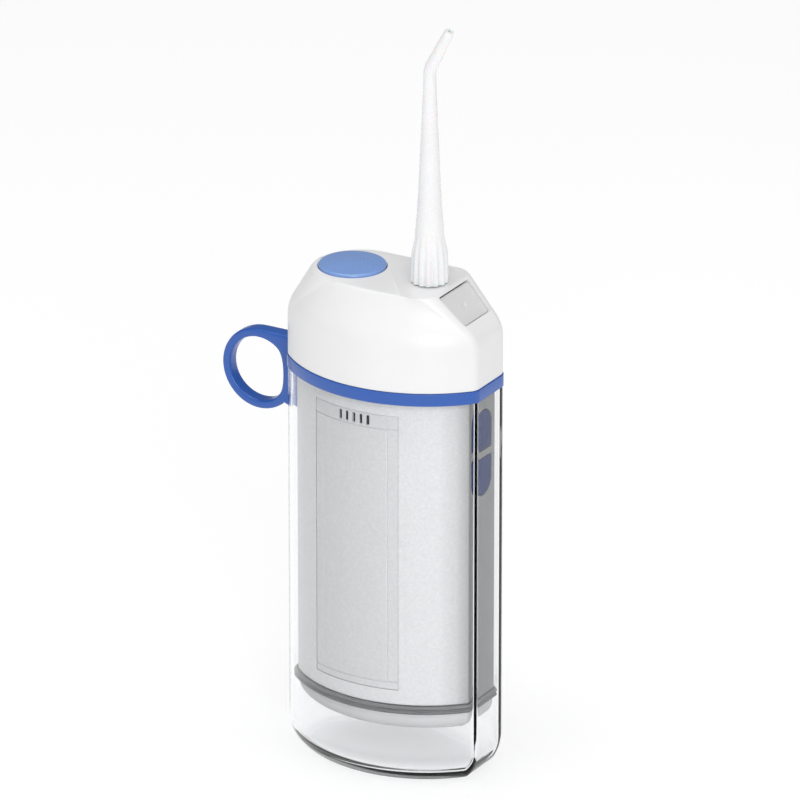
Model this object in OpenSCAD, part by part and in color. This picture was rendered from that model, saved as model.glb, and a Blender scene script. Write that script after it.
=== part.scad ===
// Telescoping cordless water flosser, in millimetres, stored with the drive unit pushed down into its tank.
// The origin is the centre of the tank's base. +Z is up, +X is the button end and -Y is the battery cover's side.

/* [Body section] */
// Half-width of the body, across the button end and the loop end
half_w = 29; // [28:0.5:30]
// Half-depth of the body, front to back
half_d = 20.5; // [20:0.25:21]
// Radius of the curved front and back faces
face_r = 38; // [37:0.5:40]
// Corner radius beside the flat button end
corner_button = 3.5; // [2.5:0.25:4.5]
// Corner radius beside the rounder loop end
corner_loop = 10; // [8:0.5:12]

/* [Tank] */
// Height of the clear tank, base to rim
tank_h = 109; // [107:0.5:111]
// Tank wall
tank_wall = 1.8; // [1.5:0.1:2]
// Thickness of the tank floor
tank_floor = 3; // [2:0.25:4]
// Sideways reach of the rounding round the tank's base
base_round_x = 6; // [4:0.5:7]
// Height of the rounding round the tank's base
base_round_z = 10; // [8:0.5:11]
// Height of the filling port on the back of the tank
port_z = 84; // [70:1:90]
// Radius of the filling port
port_r = 6.5; // [5:0.25:7]

/* [Band and finger loop] */
// Height of the coloured band
band_h = 3.4; // [3:0.1:4]
// How far the band stands out from the tank
band_proud = 0.25; // [0:0.05:0.4]
// Outer radius of the finger loop
loop_r = 11.3; // [10.5:0.1:12]
// Radial thickness of the loop
loop_wall = 2.4; // [2:0.1:3]
// Depth of the loop, front to back
loop_depth = 4.6; // [4:0.2:6]

/* [Head] */
// Height of the head's top face
head_top = 137.1; // [136:0.1:138]
// Height where the upright wall turns into the shoulder
shoulder_z = 125.9; // [125:0.1:127]
// Reach of the top face towards the button end
top_button_end = 17.6; // [17:0.1:18]
// Reach of the top face towards the loop end
top_loop_end = 23.2; // [22.5:0.1:23.5]
// Half-depth of the top face
top_d = 13; // [12.6:0.1:13.4]
// Thickness of the head's wall
head_wall = 2.2; // [1.8:0.1:2.4]

/* [Power button] */
// Distance of the round power button from the body's axis, towards the loop end
power_x = 12.6; // [12:0.1:13]
// Radius of the power button
power_r = 9; // [8.5:0.1:9.2]
// How far the power button's rim stands above the top face
power_proud = 0.8; // [0.6:0.1:1]

/* [Nozzle] */
// Distance of the nozzle's axis from the body's axis
nozzle_x = 10.7; // [10.4:0.1:11]
// Underside of the fluted grip
grip_z = 137.4; // [137.4:0.1:138]
// Radius of the fluted grip at its foot
grip_r = 5.1; // [4.8:0.1:5.2]
// Number of flutes round the grip
flutes = 14; // [10:1:18]
// Height of the bend's corner
bend_z = 196.2; // [195:0.1:200]
// Angle of the bent tip from upright
bend_angle = 27; // [15:1:35]
// Length of the bent tip, from the bend's corner
tip_len = 13; // [9:0.5:15]

/* [Drive unit] */
// Inset of the drive unit's outside from the tank's outside
unit_inset = 3; // [2.9:0.1:3.1]
// Drive unit's wall
unit_wall = 1.4; // [1.2:0.1:1.4]
// Height of the sliding seal's middle
seal_z = 21.2; // [21:0.1:21.4]
// Lowest point of the drive unit
unit_foot = 15; // [14.5:0.1:16]
// Sideways reach of the rounding round the drive unit's foot
foot_round_x = 3; // [2:0.5:4]
// Height of the rounding round the drive unit's foot
foot_round_z = 4; // [2:0.5:4]

/* [Battery cover] */
// Battery cover's edge towards the loop end
cover_x0 = -14.7; // [-15:0.1:-14]
// Battery cover's edge towards the button end
cover_x1 = 10.5; // [10:0.1:11]
// Battery cover's lower edge
cover_z0 = 26.7; // [26:0.1:28]
// Battery cover's upper edge
cover_z1 = 104.7; // [104:0.1:105]
// First of the five grip slots
slot_x = -5.9; // [-6.5:0.1:-5]
// Spacing of the grip slots
slot_pitch = 2.08; // [1.8:0.01:2.3]

/* [Side buttons] */
// Width of the two side buttons
side_button_w = 8.2; // [7:0.1:8.4]
// Bottom of the lower side button
side_button_z = 80.3; // [79:0.1:81]
// Length of the lower side button
lower_button_len = 10.3; // [9:0.1:11]
// Length of the upper side button
upper_button_len = 11.1; // [9:0.1:11.5]
// Gap between the two side buttons
side_button_gap = 2.4; // [2:0.1:3]

/* [Pump] */
// Bore radius of the pump
pump_bore_r = 3.5; // [3:0.1:3.5]
// Radius of the crank, half of the piston's stroke
crank_r = 2.5; // [2:0.1:2.5]
// Teeth on the face gear
gear_teeth = 40; // [40:10:40]
// Teeth on the motor's pinion
pinion_teeth = 10; // [10:1:10]

/* [Hidden] */
$fn = 48;
eps = 0.02;
band_z = tank_h;
band_top = band_z + band_h;
head_z = band_top + 0.1;
lip_inset = unit_inset - 0.4;
unit_inner = unit_inset + unit_wall;
unit_z0 = seal_z + 1.2;
unit_z1 = 121.5;
drive_y = 9.4;
gear_z = 75;
gear_mesh_r = 8;
gear_y0 = 5.2;
gear_y1 = 6.95;
pinion_z = gear_z - gear_mesh_r;
tooth_pitch = 2*PI*gear_mesh_r/gear_teeth;
pinion_r = tooth_pitch*pinion_teeth/(2*PI);
rod_len = 14;
crank_z = gear_z - crank_r;
wrist_z = crank_z + rod_len;
cylinder_z0 = 88;
cylinder_z1 = 99.5;
duct_z = 103.5;
suction_x = -13.5;
cell_x = -2.1;
cell_y = -6.8;
cell_r = 9.15;
cell_z0 = 33.5;
cell_z1 = 98.5;
wall_x = half_w - unit_inset;
slant_x = half_w - 0.1 - top_button_end;
slant_z = head_top - shoulder_z;
slant_tilt = atan2(slant_z, slant_x);
side_button_len = [lower_button_len, upper_button_len];
bend_r = 6;
tip_r = 1.7;
hose_x = nozzle_x;
hose_z = 115.5;
deck_z = 122.5;
latch_z = 130.4;
board_x = 18.3;

// ---- Outlines and skins ----

// Height above the X axis of a corner's centre, for a corner of radius c tucked inside the face arc
function corner_y(a, b, r, c) = (r - b) - sqrt(pow(r - c, 2) - pow(a - c, 2));

// Front half of an outline, from the loop end to the button end: corner arc, face arc, corner arc
function front_half(ap, am, b, r, cp, cm) =
    let (yc = r - b, ym = corner_y(am, b, r, cm), yp = corner_y(ap, b, r, cp),
         fm = atan2(ym - yc, cm - am) + 360, fp = atan2(yp - yc, ap - cp) + 360)
    concat(
        [for (i = [0:7]) let (t = 180 + (fm - 180)*i/7) [cm - am + cm*cos(t), ym + cm*sin(t)]],
        [for (i = [1:17]) let (t = fm + (fp - fm)*i/18) [r*cos(t), yc + r*sin(t)]],
        [for (i = [0:4]) let (t = fp + (360 - fp)*i/4) [ap - cp + cp*cos(t), yp + cp*sin(t)]]);

// Whole outline from its front half
function mirrored(front) =
    concat(front, [for (i = [len(front) - 1:-1:0]) [front[i][0], -front[i][1]]]);

// Body outline, moved inwards by d
function outline(d) = mirrored(front_half(half_w - d, half_w - d, half_d - d, face_r - d,
                                          max(corner_button - d, 0.8), corner_loop - d));

// Outline of the head's top face, moved inwards by d
function top_outline(d) = mirrored(front_half(top_button_end - d, top_loop_end - d, top_d - d, 120 - d,
                                              4.5 - d/2, 12.4 - d));

function blend(a, b, s) = [for (i = [0:len(a) - 1]) a[i]*(1 - s) + b[i]*s];
function ring(points, z) = [for (p = points) [p[0], p[1], z]];
function bezier(a, b, c, t) = a*pow(1 - t, 2) + b*2*t*(1 - t) + c*pow(t, 2);

// Closed skin over a stack of rings
module skin(rings) {
    n = len(rings[0]);
    m = len(rings);
    sides = [for (j = [0:m - 2], i = [0:n - 1]) let (k = (i + 1)%n)
             each [[j*n + i, (j + 1)*n + i, (j + 1)*n + k], [j*n + i, (j + 1)*n + k, j*n + k]]];
    polyhedron(points = [for (r = rings) each r],
               faces = concat(sides, [[for (i = [0:n - 1]) i], [for (i = [n - 1:-1:0]) (m - 1)*n + i]]));
}

// Upright prism of the body outline between two heights
module prism(d, z0, z1) translate([0, 0, z0]) linear_extrude(z1 - z0) polygon(outline(d));

// Upright tube between two insets of the body outline
module sleeve(d_out, d_in, z0, z1) translate([0, 0, z0]) linear_extrude(z1 - z0)
    difference() {
        polygon(outline(d_out));
        polygon(outline(d_in));
    }

// Box from its lowest to its highest corner
module block(a, b) translate(a) cube(b - a);

// Cylinder along +X or +Y
module bar_x(r, x0, x1, y, z) translate([x0, y, z]) rotate([0, 90, 0]) cylinder(r = r, h = x1 - x0);
module bar_y(r, y0, y1, x, z) translate([x, y0, z]) rotate([-90, 0, 0]) cylinder(r = r, h = y1 - y0);
module bar_z(r, z0, z1, x, y) translate([x, y, z0]) cylinder(r = r, h = z1 - z0);

// Tube along Z
module tube_z(r_out, r_in, z0, z1, x, y) translate([x, y, z0]) difference() {
    cylinder(r = r_out, h = z1 - z0);
    translate([0, 0, -1]) cylinder(r = r_in, h = z1 - z0 + 2);
}

// Quarter bend of hose in the local XY plane, from (r, 0) to (0, r)
module elbow(r) rotate_extrude(angle = 90) translate([r, 0]) difference() {
    circle(r = 2);
    circle(r = 1.2);
}

// Helical wire round +Z: radii at foot and top, height, turns, wire radius
module helix(r0, r1, h, turns, wire) {
    steps = 14*turns;
    sides = 6;
    function spot(i) = let (a = 360*turns*i/steps, r = r0 + (r1 - r0)*i/steps) [r*cos(a), r*sin(a), h*i/steps];
    points = [for (i = [0:steps], j = [0:sides - 1])
              let (a = 360*turns*i/steps, t = 360*j/sides, s = spot(i))
              s + [wire*cos(t)*cos(a), wire*cos(t)*sin(a), wire*sin(t)]];
    faces = [for (i = [0:steps - 1], j = [0:sides - 1]) let (k = (j + 1)%sides)
             each [[i*sides + j, i*sides + k, (i + 1)*sides + k], [i*sides + j, (i + 1)*sides + k, (i + 1)*sides + j]]];
    polyhedron(points = points,
               faces = concat(faces, [[for (j = [sides - 1:-1:0]) j], [for (j = [0:sides - 1]) steps*sides + j]]));
}

// ---- Tank ----

module tank() color([0.85, 0.90, 0.94, 0.35]) difference() {
    skin(concat([for (i = [0:5]) ring(outline(base_round_x*(1 - sin(18*i))), base_round_z*(1 - cos(18*i)))],
                [ring(outline(0), tank_h)]));
    skin(concat([for (i = [0:5]) ring(outline(tank_wall + 3.6*(1 - sin(18*i))), tank_floor + 4.5*(1 - cos(18*i)))],
                [ring(outline(tank_wall), tank_h + 1)]));
    bar_y(port_r, half_d - 6, half_d + 2, 0, port_z);
}

// The band caps the rim and reaches past the tank's wall, where it stops the seal at the end of the stroke
module band_ring() color("royalblue") sleeve(-band_proud, lip_inset, band_z, band_top);

// Hole of the finger loop: round, with a straight side towards the tank between two corner arcs
module loop_hole() {
    r = loop_r - loop_wall;
    corner = 4;
    reach = 7.9;
    z = sqrt(pow(r - corner, 2) - pow(reach - corner, 2));
    intersection() {
        circle(r = r);
        translate([-r, -r]) square([r + (reach - corner)*r/(r - corner) - 0.2, 2*r]);
    }
    for (s = [-1, 1]) translate([reach - corner, s*z]) circle(r = corner);
    translate([0, -z]) square([reach, 2*z]);
}

// A finger ring on a flat tongue that hangs down the tank's loop end
module finger_loop() color("royalblue") {
    cx = -half_w - loop_r;
    cz = band_top + 1.8 - loop_r;
    difference() {
        translate([0, loop_depth/2, 0]) rotate([90, 0, 0]) linear_extrude(loop_depth) difference() {
            union() {
                translate([cx, cz]) circle(r = loop_r);
                translate([cx, cz]) square([loop_r - band_proud - 0.05, loop_r]);
                translate([-half_w - band_proud - 2.2, cz - 8.5]) square([2.15, 9.5]);
            }
            translate([cx, cz]) loop_hole();
        }
        prism(-band_proud - 0.05, 90, 120);
    }
}

// Silicone plug in the filling port, with a curved flange and a pull lip
module fill_plug() color([0.86, 0.89, 0.93]) {
    difference() {
        union() {
            intersection() {
                sleeve(-1.3, -0.15, port_z - 9, port_z + 9);
                bar_y(8.4, 10, half_d + 3, 0, port_z);
            }
            bar_y(port_r - 0.3, half_d - tank_wall + 0.05, half_d + 0.5, 0, port_z);
            intersection() {
                sleeve(-2.1, -0.9, port_z - 9, port_z - 5.4);
                block([-3.5, 10, port_z - 8.2], [3.5, half_d + 3, port_z - 5.6]);
            }
        }
        bar_y(port_r - 1.6, half_d - 3, half_d - 0.4, 0, port_z);
    }
}

// ---- Drive unit: casing ----

module drive_shell() color([0.80, 0.81, 0.82]) difference() {
    union() {
        sleeve(unit_inset, unit_inner, unit_z0, unit_z1);
        intersection() {
            sleeve(unit_inset + 1, unit_inset + 2.1, cover_z0 - 2, cover_z1 + 2);
            block([cover_x0 - 2, -half_d, cover_z0 - 2], [cover_x1 + 2, 0, cover_z1 + 2]);
        }
    }
    difference() {
        block([cover_x0 - 0.15, -half_d, cover_z0 - 0.15], [cover_x1 + 0.15, 0, cover_z1 + 0.15]);
        prism(unit_inset + 1.3, cover_z0 - 1, cover_z1 + 1);
    }
    block([cover_x0 + 2.5, -half_d, cover_z0 + 2.5], [cover_x1 - 2.5, -8, cover_z1 - 3.5]);
    for (b = [0, 1]) side_pill(b, 0.3, wall_x - 4, wall_x + 1);
}

// Outline of one side button grown by g, as a bar along X: 0 is the lower one, 1 the upper
module side_pill(b, g, x0, x1) {
    z0 = side_button_z + b*(side_button_len[0] + side_button_gap);
    len = side_button_len[b];
    r = side_button_w/2;
    mid = b == 0 ? z0 + r : z0 + len - r;
    flat = b == 0 ? z0 + len : z0;
    bar_x(r + g, x0, x1, 0, mid);
    block([x0, -r - g, min(mid, flat - g)], [x1, r + g, max(mid, flat + g)]);
}

module end_cap() color([0.72, 0.73, 0.74]) difference() {
    union() {
        difference() {
            union() {
                skin(concat([for (i = [0:4]) ring(outline(unit_inset + 0.3 + foot_round_x*(1 - sin(22.5*i))),
                                                  unit_foot + foot_round_z*(1 - cos(22.5*i)))],
                            [ring(outline(unit_inset + 0.3), seal_z - 1.15)]));
                prism(unit_inner + 0.4, seal_z - 1.2, unit_z0 + eps);
                prism(unit_inner + 0.1, unit_z0, unit_z0 + 2.2);
            }
            prism(unit_inner + 1.8, unit_z0 - 2.5, unit_z0 + 5);
        }
        bar_z(3, unit_z0 - 2.6, unit_z0 + 2.5, suction_x, drive_y);
    }
    bar_z(2.6, unit_foot - 1, unit_foot + 1.8, suction_x, drive_y);
    bar_z(1.2, unit_foot + 1, unit_z0 + 3, suction_x, drive_y);
    bar_z(2.05, unit_z0 - 2.45, unit_z0 + 3, suction_x, drive_y);
}

module seal_ring() color([0.25, 0.26, 0.27]) union() {
    sleeve(unit_inset - 0.4, unit_inner + 0.35, seal_z - 1.1, seal_z + 1.1);
    sleeve(unit_inset - 0.9, unit_inset, seal_z - 0.9, seal_z - 0.3);
    sleeve(unit_inset - 0.9, unit_inset, seal_z + 0.3, seal_z + 0.9);
}

// Perforated puck over the intake in the unit's foot
module intake_filter() color([0.35, 0.36, 0.38]) difference() {
    bar_z(2.55, unit_foot + 0.2, unit_foot + 1.75, suction_x, drive_y);
    for (a = [0:60:300])
        bar_z(0.4, unit_foot - 1, unit_foot + 2, suction_x + 1.5*cos(a), drive_y + 1.5*sin(a));
    bar_z(0.4, unit_foot - 1, unit_foot + 2, suction_x, drive_y);
}

// Tube from the foot to the pump head: riser, elbow, then a stub over the inlet nipple
module suction_tube() color([0.85, 0.87, 0.88]) {
    r = 4;
    tube_z(2, 1.2, unit_z0 - 2.4, duct_z - r, suction_x, drive_y);
    translate([suction_x + r, drive_y, duct_z - r]) rotate([90, 0, 180]) elbow(r);
    difference() {
        bar_x(2, suction_x + r, -7.4, drive_y, duct_z);
        bar_x(1.2, suction_x + r - 1, -6, drive_y, duct_z);
    }
}

// ---- Battery ----

module battery_cover() color([0.84, 0.85, 0.86]) difference() {
    intersection() {
        sleeve(unit_inset, unit_inset + 1.2, cover_z0, cover_z1);
        block([cover_x0, -half_d, cover_z0], [cover_x1, 0, cover_z1]);
    }
    difference() {
        union() {
            block([cover_x0 - 1, -half_d, cover_z1 - 4.1], [cover_x1 + 1, 0, cover_z1 - 3.7]);
            block([cover_x0 - 1, -half_d, cover_z0 + 1.8], [cover_x1 + 1, 0, cover_z0 + 2.2]);
            for (x = [cover_x0 + 2.9, cover_x1 - 2.9])
                block([x - 0.15, -half_d, cover_z0 + 2], [x + 0.15, 0, cover_z1 - 4]);
        }
        prism(unit_inset + 0.3, cover_z0 - 1, cover_z1 + 1);
    }
    for (i = [0:4])
        block([slot_x + slot_pitch*i - 0.35, -half_d, cover_z1 - 3.3],
              [slot_x + slot_pitch*i + 0.35, 0, cover_z1 - 0.7]);
}

// Open trough that holds the cell, with an end wall for each contact
module battery_tray() color([0.30, 0.31, 0.33]) difference() {
    intersection() {
        block([cell_x - cell_r - 0.9, -half_d, cell_z0 - 4], [cell_x + cell_r + 0.9, 3.1, cell_z1 + 3]);
        prism(unit_inset + 2.4, cell_z0 - 5, cell_z1 + 4);
    }
    bar_z(cell_r + 0.2, cell_z0 - 2.9, cell_z1 + 1, cell_x, cell_y);
    block([cell_x - cell_r - 0.2, -half_d, cell_z0 - 2.9], [cell_x + cell_r + 0.2, cell_y, cell_z1 + 1]);
    for (x = [cell_x - cell_r + 0.4, cell_x + cell_r - 0.4], z = [33, 92])
        bar_y(0.85, -2, 4, x, z);
}

module battery_cell() color([0.25, 0.50, 0.35]) union() {
    bar_z(cell_r, cell_z0, cell_z1 - 1.2, cell_x, cell_y);
    bar_z(cell_r - 1.2, cell_z1 - 1.25, cell_z1 - 0.7, cell_x, cell_y);
    bar_z(3, cell_z1 - 0.8, cell_z1, cell_x, cell_y);
}

module contact_spring() color([0.78, 0.75, 0.68]) translate([cell_x, cell_y, cell_z0 - 2.55])
    helix(5.5, 3, 2.2, 3, 0.32);

module contact_plate() color([0.78, 0.75, 0.68])
    block([cell_x - 4, cell_y - 4, cell_z1 + 0.3], [cell_x + 4, cell_y + 4, cell_z1 + 0.9]);

// ---- Drive train ----

// Upright plate with shelves for the motor, the gear's axle boss and the pump's cylinder
module chassis() color([0.90, 0.90, 0.88]) difference() {
    union() {
        block([-13, 3.4, 30], [10.2, 4.6, 108]);
        block([-9, 3.4, 63.1], [9, 14.6, 64.3]);
        block([-9, 3.4, 35], [9, 14.6, 36.2]);
        block([-7.5, 3.4, 96], [7.5, 14.4, 98]);
        bar_y(2.2, 3.4, gear_y0 - 0.2, 0, gear_z);
        for (x = [-9, 7.8]) block([x, 3.4, 36], [x + 1.2, 8, 63.2]);
        for (z = [78.4, 104.2]) block([9.5, 3.4, z], [board_x - 0.02, 6.4, z + 3.6]);
    }
    for (z = [80.2, 106]) bar_x(0.65, board_x - 5, board_x + 1, 4.9, z);
    bar_z(3.05, 62, 66, 0, drive_y);
    bar_z(4.65, 95, 99, 0, drive_y);
    bar_z(2.5, 34, 37, 0, drive_y);
    bar_y(0.98, 3, 6, 0, gear_z);
    for (x = [cell_x - cell_r + 0.4, cell_x + cell_r - 0.4], z = [33, 92]) bar_y(1.05, 3, 5, x, z);
    block([-6.4, 3, 36.2], [6.4, 5, 63.15]);
}

module chassis_screws() color([0.60, 0.61, 0.62])
    for (x = [cell_x - cell_r + 0.4, cell_x + cell_r - 0.4], z = [33, 92]) difference() {
        union() {
            bar_y(0.8, -1.6, 4.7, x, z);
            bar_y(1.8, 4.62, 5.8, x, z);
        }
        block([x - 0.9, 5.2, z - 0.2], [x + 0.9, 6, z + 0.2]);
        block([x - 0.2, 5.2, z - 0.9], [x + 0.2, 6, z + 0.9]);
    }

// Round can with two flats, a nose bearing boss and a hollow middle
module motor_can() color([0.70, 0.71, 0.72]) difference() {
    union() {
        intersection() {
            bar_z(7.75, 38, 63, 0, drive_y);
            block([-8, drive_y - 6, 38], [8, drive_y + 6, 63]);
        }
        bar_z(3, 62.9, 64.6, 0, drive_y);
    }
    intersection() {
        bar_z(6.95, 37, 62, 0, drive_y);
        block([-8, drive_y - 5.4, 37], [8, drive_y + 5.4, 62]);
    }
    bar_z(0.8, 60, 66, 0, drive_y);
}

module motor_endbell() color([0.20, 0.20, 0.22]) difference() {
    union() {
        intersection() {
            bar_z(7.7, 36.4, 38, 0, drive_y);
            block([-8, drive_y - 5.95, 36.3], [8, drive_y + 5.95, 38]);
        }
        intersection() {
            bar_z(6.85, 37.9, 39.4, 0, drive_y);
            block([-8, drive_y - 5.3, 37.9], [8, drive_y + 5.3, 39.4]);
        }
    }
    bar_z(0.8, 37.2, 41, 0, drive_y);
}

module motor_magnets() color([0.28, 0.27, 0.27]) intersection() {
    tube_z(6.9, 5.3, 41, 58, 0, drive_y);
    union() {
        block([-8, drive_y - 3.6, 40], [-2, drive_y + 3.6, 60]);
        block([2, drive_y - 3.6, 40], [8, drive_y + 3.6, 60]);
    }
}

// Insulated wire along straight runs, with a ball at each corner
module wire(points) {
    for (i = [0:len(points) - 2]) let (a = points[i], d = points[i + 1] - a)
        translate(a) rotate([0, acos(d[2]/norm(d)), atan2(d[1], d[0])]) cylinder(r = 0.6, h = norm(d));
    for (i = [1:len(points) - 2]) translate(points[i]) sphere(r = 0.66);
}

// Two leads from the motor's end bell, up beside the motor to the back of the control board
module motor_leads() color("firebrick") {
    wire([[7.7, 8.9, 37.2], [12, 8.9, 37.2], [12, 8.9, 88], [12, 6, 88], [board_x - 0.02, 6, 88]]);
    wire([[7.46, 11.4, 37.2], [13.6, 11.4, 37.2], [13.6, 11.4, 91], [13.6, 6, 91], [board_x - 0.02, 6, 91]]);
}

// Wound three-pole core and its commutator
module armature() color([0.72, 0.42, 0.24]) difference() {
    union() {
        for (a = [0, 120, 240]) translate([0, drive_y, 42]) rotate([0, 0, a]) {
            linear_extrude(15) union() {
                intersection() {
                    circle(r = 4.9);
                    translate([3.6, -3.4]) square([2, 6.8]);
                }
                translate([0, -1]) square([4, 2]);
            }
            translate([1.6, -1.9, -0.7]) cube([1.6, 3.8, 16.4]);
        }
        bar_z(1.9, 40.2, 57, 0, drive_y);
    }
    bar_z(0.75, 39, 61, 0, drive_y);
}

module motor_shaft() color([0.75, 0.76, 0.77]) bar_z(0.75, 37.4, pinion_z + 2.4, 0, drive_y);

// Straight-sided tooth outline: half-widths at root and tip
function tooth(r0, r1, w0, w1) = [[-w0, r0], [w0, r0], [w1, r1], [-w1, r1]];

module pinion() color([0.80, 0.68, 0.35]) difference() {
    translate([0, drive_y, pinion_z - 0.9]) linear_extrude(1.8) rotate(180) {
        circle(r = pinion_r - 0.5);
        for (i = [0:pinion_teeth - 1]) rotate(360*i/pinion_teeth)
            polygon(tooth(pinion_r - 0.7, pinion_r + 0.28, 0.36, 0.13));
    }
    bar_z(0.75, pinion_z - 2, pinion_z + 2, 0, drive_y);
}

module gear_axle() color([0.75, 0.76, 0.77]) {
    bar_y(0.97, 3.5, gear_y1 + 0.5, 0, gear_z);
    bar_y(1.5, gear_y1 + 0.45, gear_y1 + 0.9, 0, gear_z);
}

// Face gear: a disc with upright teeth near its rim, lightening holes and the crank stub
module face_gear() color([0.93, 0.93, 0.90]) difference() {
    union() {
        bar_y(9.2, gear_y0, gear_y1, 0, gear_z);
        bar_y(2, gear_y1 - 0.1, gear_y1 + 0.3, 0, gear_z);
        bar_y(1, gear_y1 - 0.1, 8.3, 0, crank_z);
        translate([0, gear_y1 - 0.1, gear_z]) rotate([-90, 0, 0]) face_teeth();
    }
    bar_y(1.02, gear_y0 - 1, 9, 0, gear_z);
    for (a = [30:60:330]) bar_y(1.5, gear_y0 - 1, gear_y1 + 1, 5*sin(a), gear_z + 5*cos(a));
}

// Ring of upright teeth, each a short wedge across the ring
module face_teeth() for (i = [0:gear_teeth - 1]) rotate(360*(i + 0.5)/gear_teeth)
    translate([gear_mesh_r - 0.7, 0, 0]) rotate([90, 0, 90]) linear_extrude(1.6)
        polygon([[-0.30, 0], [0.30, 0], [0.13, 0.78], [-0.13, 0.78]]);

// Rod with an eye at each end and a thinned web
module connecting_rod() color([0.93, 0.93, 0.90]) difference() {
    union() {
        bar_y(2.1, 8.6, 10.2, 0, crank_z);
        bar_y(1.8, 8.6, 10.2, 0, wrist_z);
        block([-1.1, 8.6, crank_z], [1.1, 10.2, wrist_z]);
    }
    bar_y(1.03, 8, 11, 0, crank_z);
    bar_y(0.85, 8, 11, 0, wrist_z);
    for (y = [8.5, 9.8]) block([-0.6, y, crank_z + 2.8], [0.6, y + 0.5, wrist_z - 2.5]);
}

module wrist_pin() color([0.75, 0.76, 0.77]) bar_y(0.8, drive_y - 2.9, drive_y + 2.9, 0, wrist_z);

module piston() color([0.90, 0.91, 0.92]) difference() {
    bar_z(pump_bore_r - 0.08, wrist_z - 1.95, wrist_z + 6, 0, drive_y);
    block([-5, 8.3, wrist_z - 4], [5, 10.5, wrist_z + 2.2]);
    bar_y(0.8, drive_y - 5, drive_y + 5, 0, wrist_z);
    tube_z(5, 2.7, wrist_z + 3.4, wrist_z + 4.8, 0, drive_y);
}

module piston_seal() color([0.15, 0.15, 0.16])
    tube_z(pump_bore_r - 0.03, 2.72, wrist_z + 3.45, wrist_z + 4.75, 0, drive_y);

module pump_cylinder() color([0.88, 0.89, 0.90]) difference() {
    union() {
        bar_z(4.6, cylinder_z0, cylinder_z1, 0, drive_y);
        intersection() {
            bar_z(5.6, 98.05, cylinder_z1, 0, drive_y);
            block([-6, 4.8, 98], [6, 16, 100]);
        }
    }
    bar_z(pump_bore_r, cylinder_z0 - 1, cylinder_z1 + 1, 0, drive_y);
}

// Valve block: the bore opens up into a cross duct, with an inlet nipple one side and an outlet nipple the other
module pump_head() color([0.88, 0.89, 0.90]) difference() {
    union() {
        block([-6.4, 4.8, cylinder_z1 + 0.02], [5.4, 14.2, 107]);
        bar_x(1.15, -9.2, -6.3, drive_y, duct_z);
        bar_x(1.15, 5.3, 7.6, drive_y, duct_z);
    }
    bar_z(2.6, cylinder_z1 - 1, duct_z, 0, drive_y);
    bar_x(2.2, -5.4, 4.4, drive_y, duct_z);
    bar_x(0.7, -12, 9, drive_y, duct_z);
}

// Rubber disc valve with a short stem, pointing along +X
module disc_valve(x) {
    bar_x(2, x, x + 0.7, drive_y, duct_z);
    bar_x(0.8, x + 0.6, x + 1.8, drive_y, duct_z);
}

module inlet_valve() color([0.15, 0.15, 0.16]) disc_valve(-5.1);
module outlet_valve() color([0.15, 0.15, 0.16]) disc_valve(2.5);

// ---- Outlet ----

// Hose from the pump's outlet nipple: elbow up, riser, elbow towards the nozzle's seat, stub over its nipple
module outlet_hose() color([0.85, 0.87, 0.88]) {
    r = hose_x - 7.7;
    difference() {
        bar_x(2, 6, hose_x - r, drive_y, duct_z);
        bar_x(1.2, 5, hose_x - r + 1, drive_y, duct_z);
    }
    translate([hose_x - r, drive_y, duct_z + r]) rotate([-90, 0, 0]) elbow(r);
    tube_z(2, 1.2, duct_z + r, hose_z - r, hose_x, drive_y);
    translate([hose_x, drive_y - r, hose_z - r]) rotate([90, 0, 90]) elbow(r);
    difference() {
        bar_y(2, 4.4, drive_y - r, hose_x, hose_z);
        bar_y(1.2, 3, drive_y - r + 1, hose_x, hose_z);
    }
}

// ---- Head ----

// Ring of the head's skin: s runs from the upright wall (0) to the top face's edge (1), in by d and e
function head_ring(s, z, d, e) = ring(blend(outline(d), top_outline(e), s), z);

// Skin of the head: upright wall, rounded crease, sloping shoulder, rounded edge, top face
module head_skin() {
    crease = [for (i = [0:4]) bezier([0, shoulder_z - 2.6], [0, shoulder_z + 0.2], [0.2, shoulder_z + 2.6], i/4)];
    rim = [for (i = [0:4]) bezier([0.9, head_top - 1.1], [1, head_top], [1.08, head_top], i/4)];
    skin(concat([ring(outline(0.25), head_z), ring(outline(0), head_z + 0.25)],
                [for (p = concat(crease, rim)) head_ring(p[0], p[1], 0, 0)]));
}

module head_cavity() {
    z1 = head_top - head_wall;
    prism(unit_inset - 0.1, head_z - 1, 124.2);
    skin([head_ring(0, 124.1, unit_inset - 0.1, 1.9), head_ring(0.25, 127.6, unit_inset - 0.1, 1.9),
          head_ring(1, z1, unit_inset - 0.1, 1.9)]);
}

// Outline of the release button in the plane of the slant, grown by g
module release_outline(g) polygon([[0.5 - g, -8 - g], [10.7 + g, -7.1 - g], [10.7 + g, 7.1 + g], [0.5 - g, 8 + g]]);

// Moves children to the slant: local +X runs down the slope and local +Z stands out of it
module on_slant() translate([top_button_end, 0, head_top]) rotate([0, slant_tilt, 0]) children();

module head_shell() color([0.96, 0.96, 0.96]) difference() {
    union() {
        difference() {
            head_skin();
            head_cavity();
        }
        bar_z(power_r + 1.5, head_top - 5, head_top - 2, -power_x, 0);
    }
    bar_z(power_r + 0.25, head_top - 4, head_top + 2, -power_x, 0);
    bar_z(2.3, head_top - 6, head_top, -power_x, 0);
    bar_z(4.2, head_top - 6, head_top + 1, nozzle_x, 0);
    on_slant() translate([0, 0, -5]) linear_extrude(7) release_outline(0);
}

module head_gasket() color([0.20, 0.21, 0.22]) sleeve(unit_inset + 0.15, unit_inner - 0.1, unit_z1 + 0.05, deck_z - 0.05);

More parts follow.
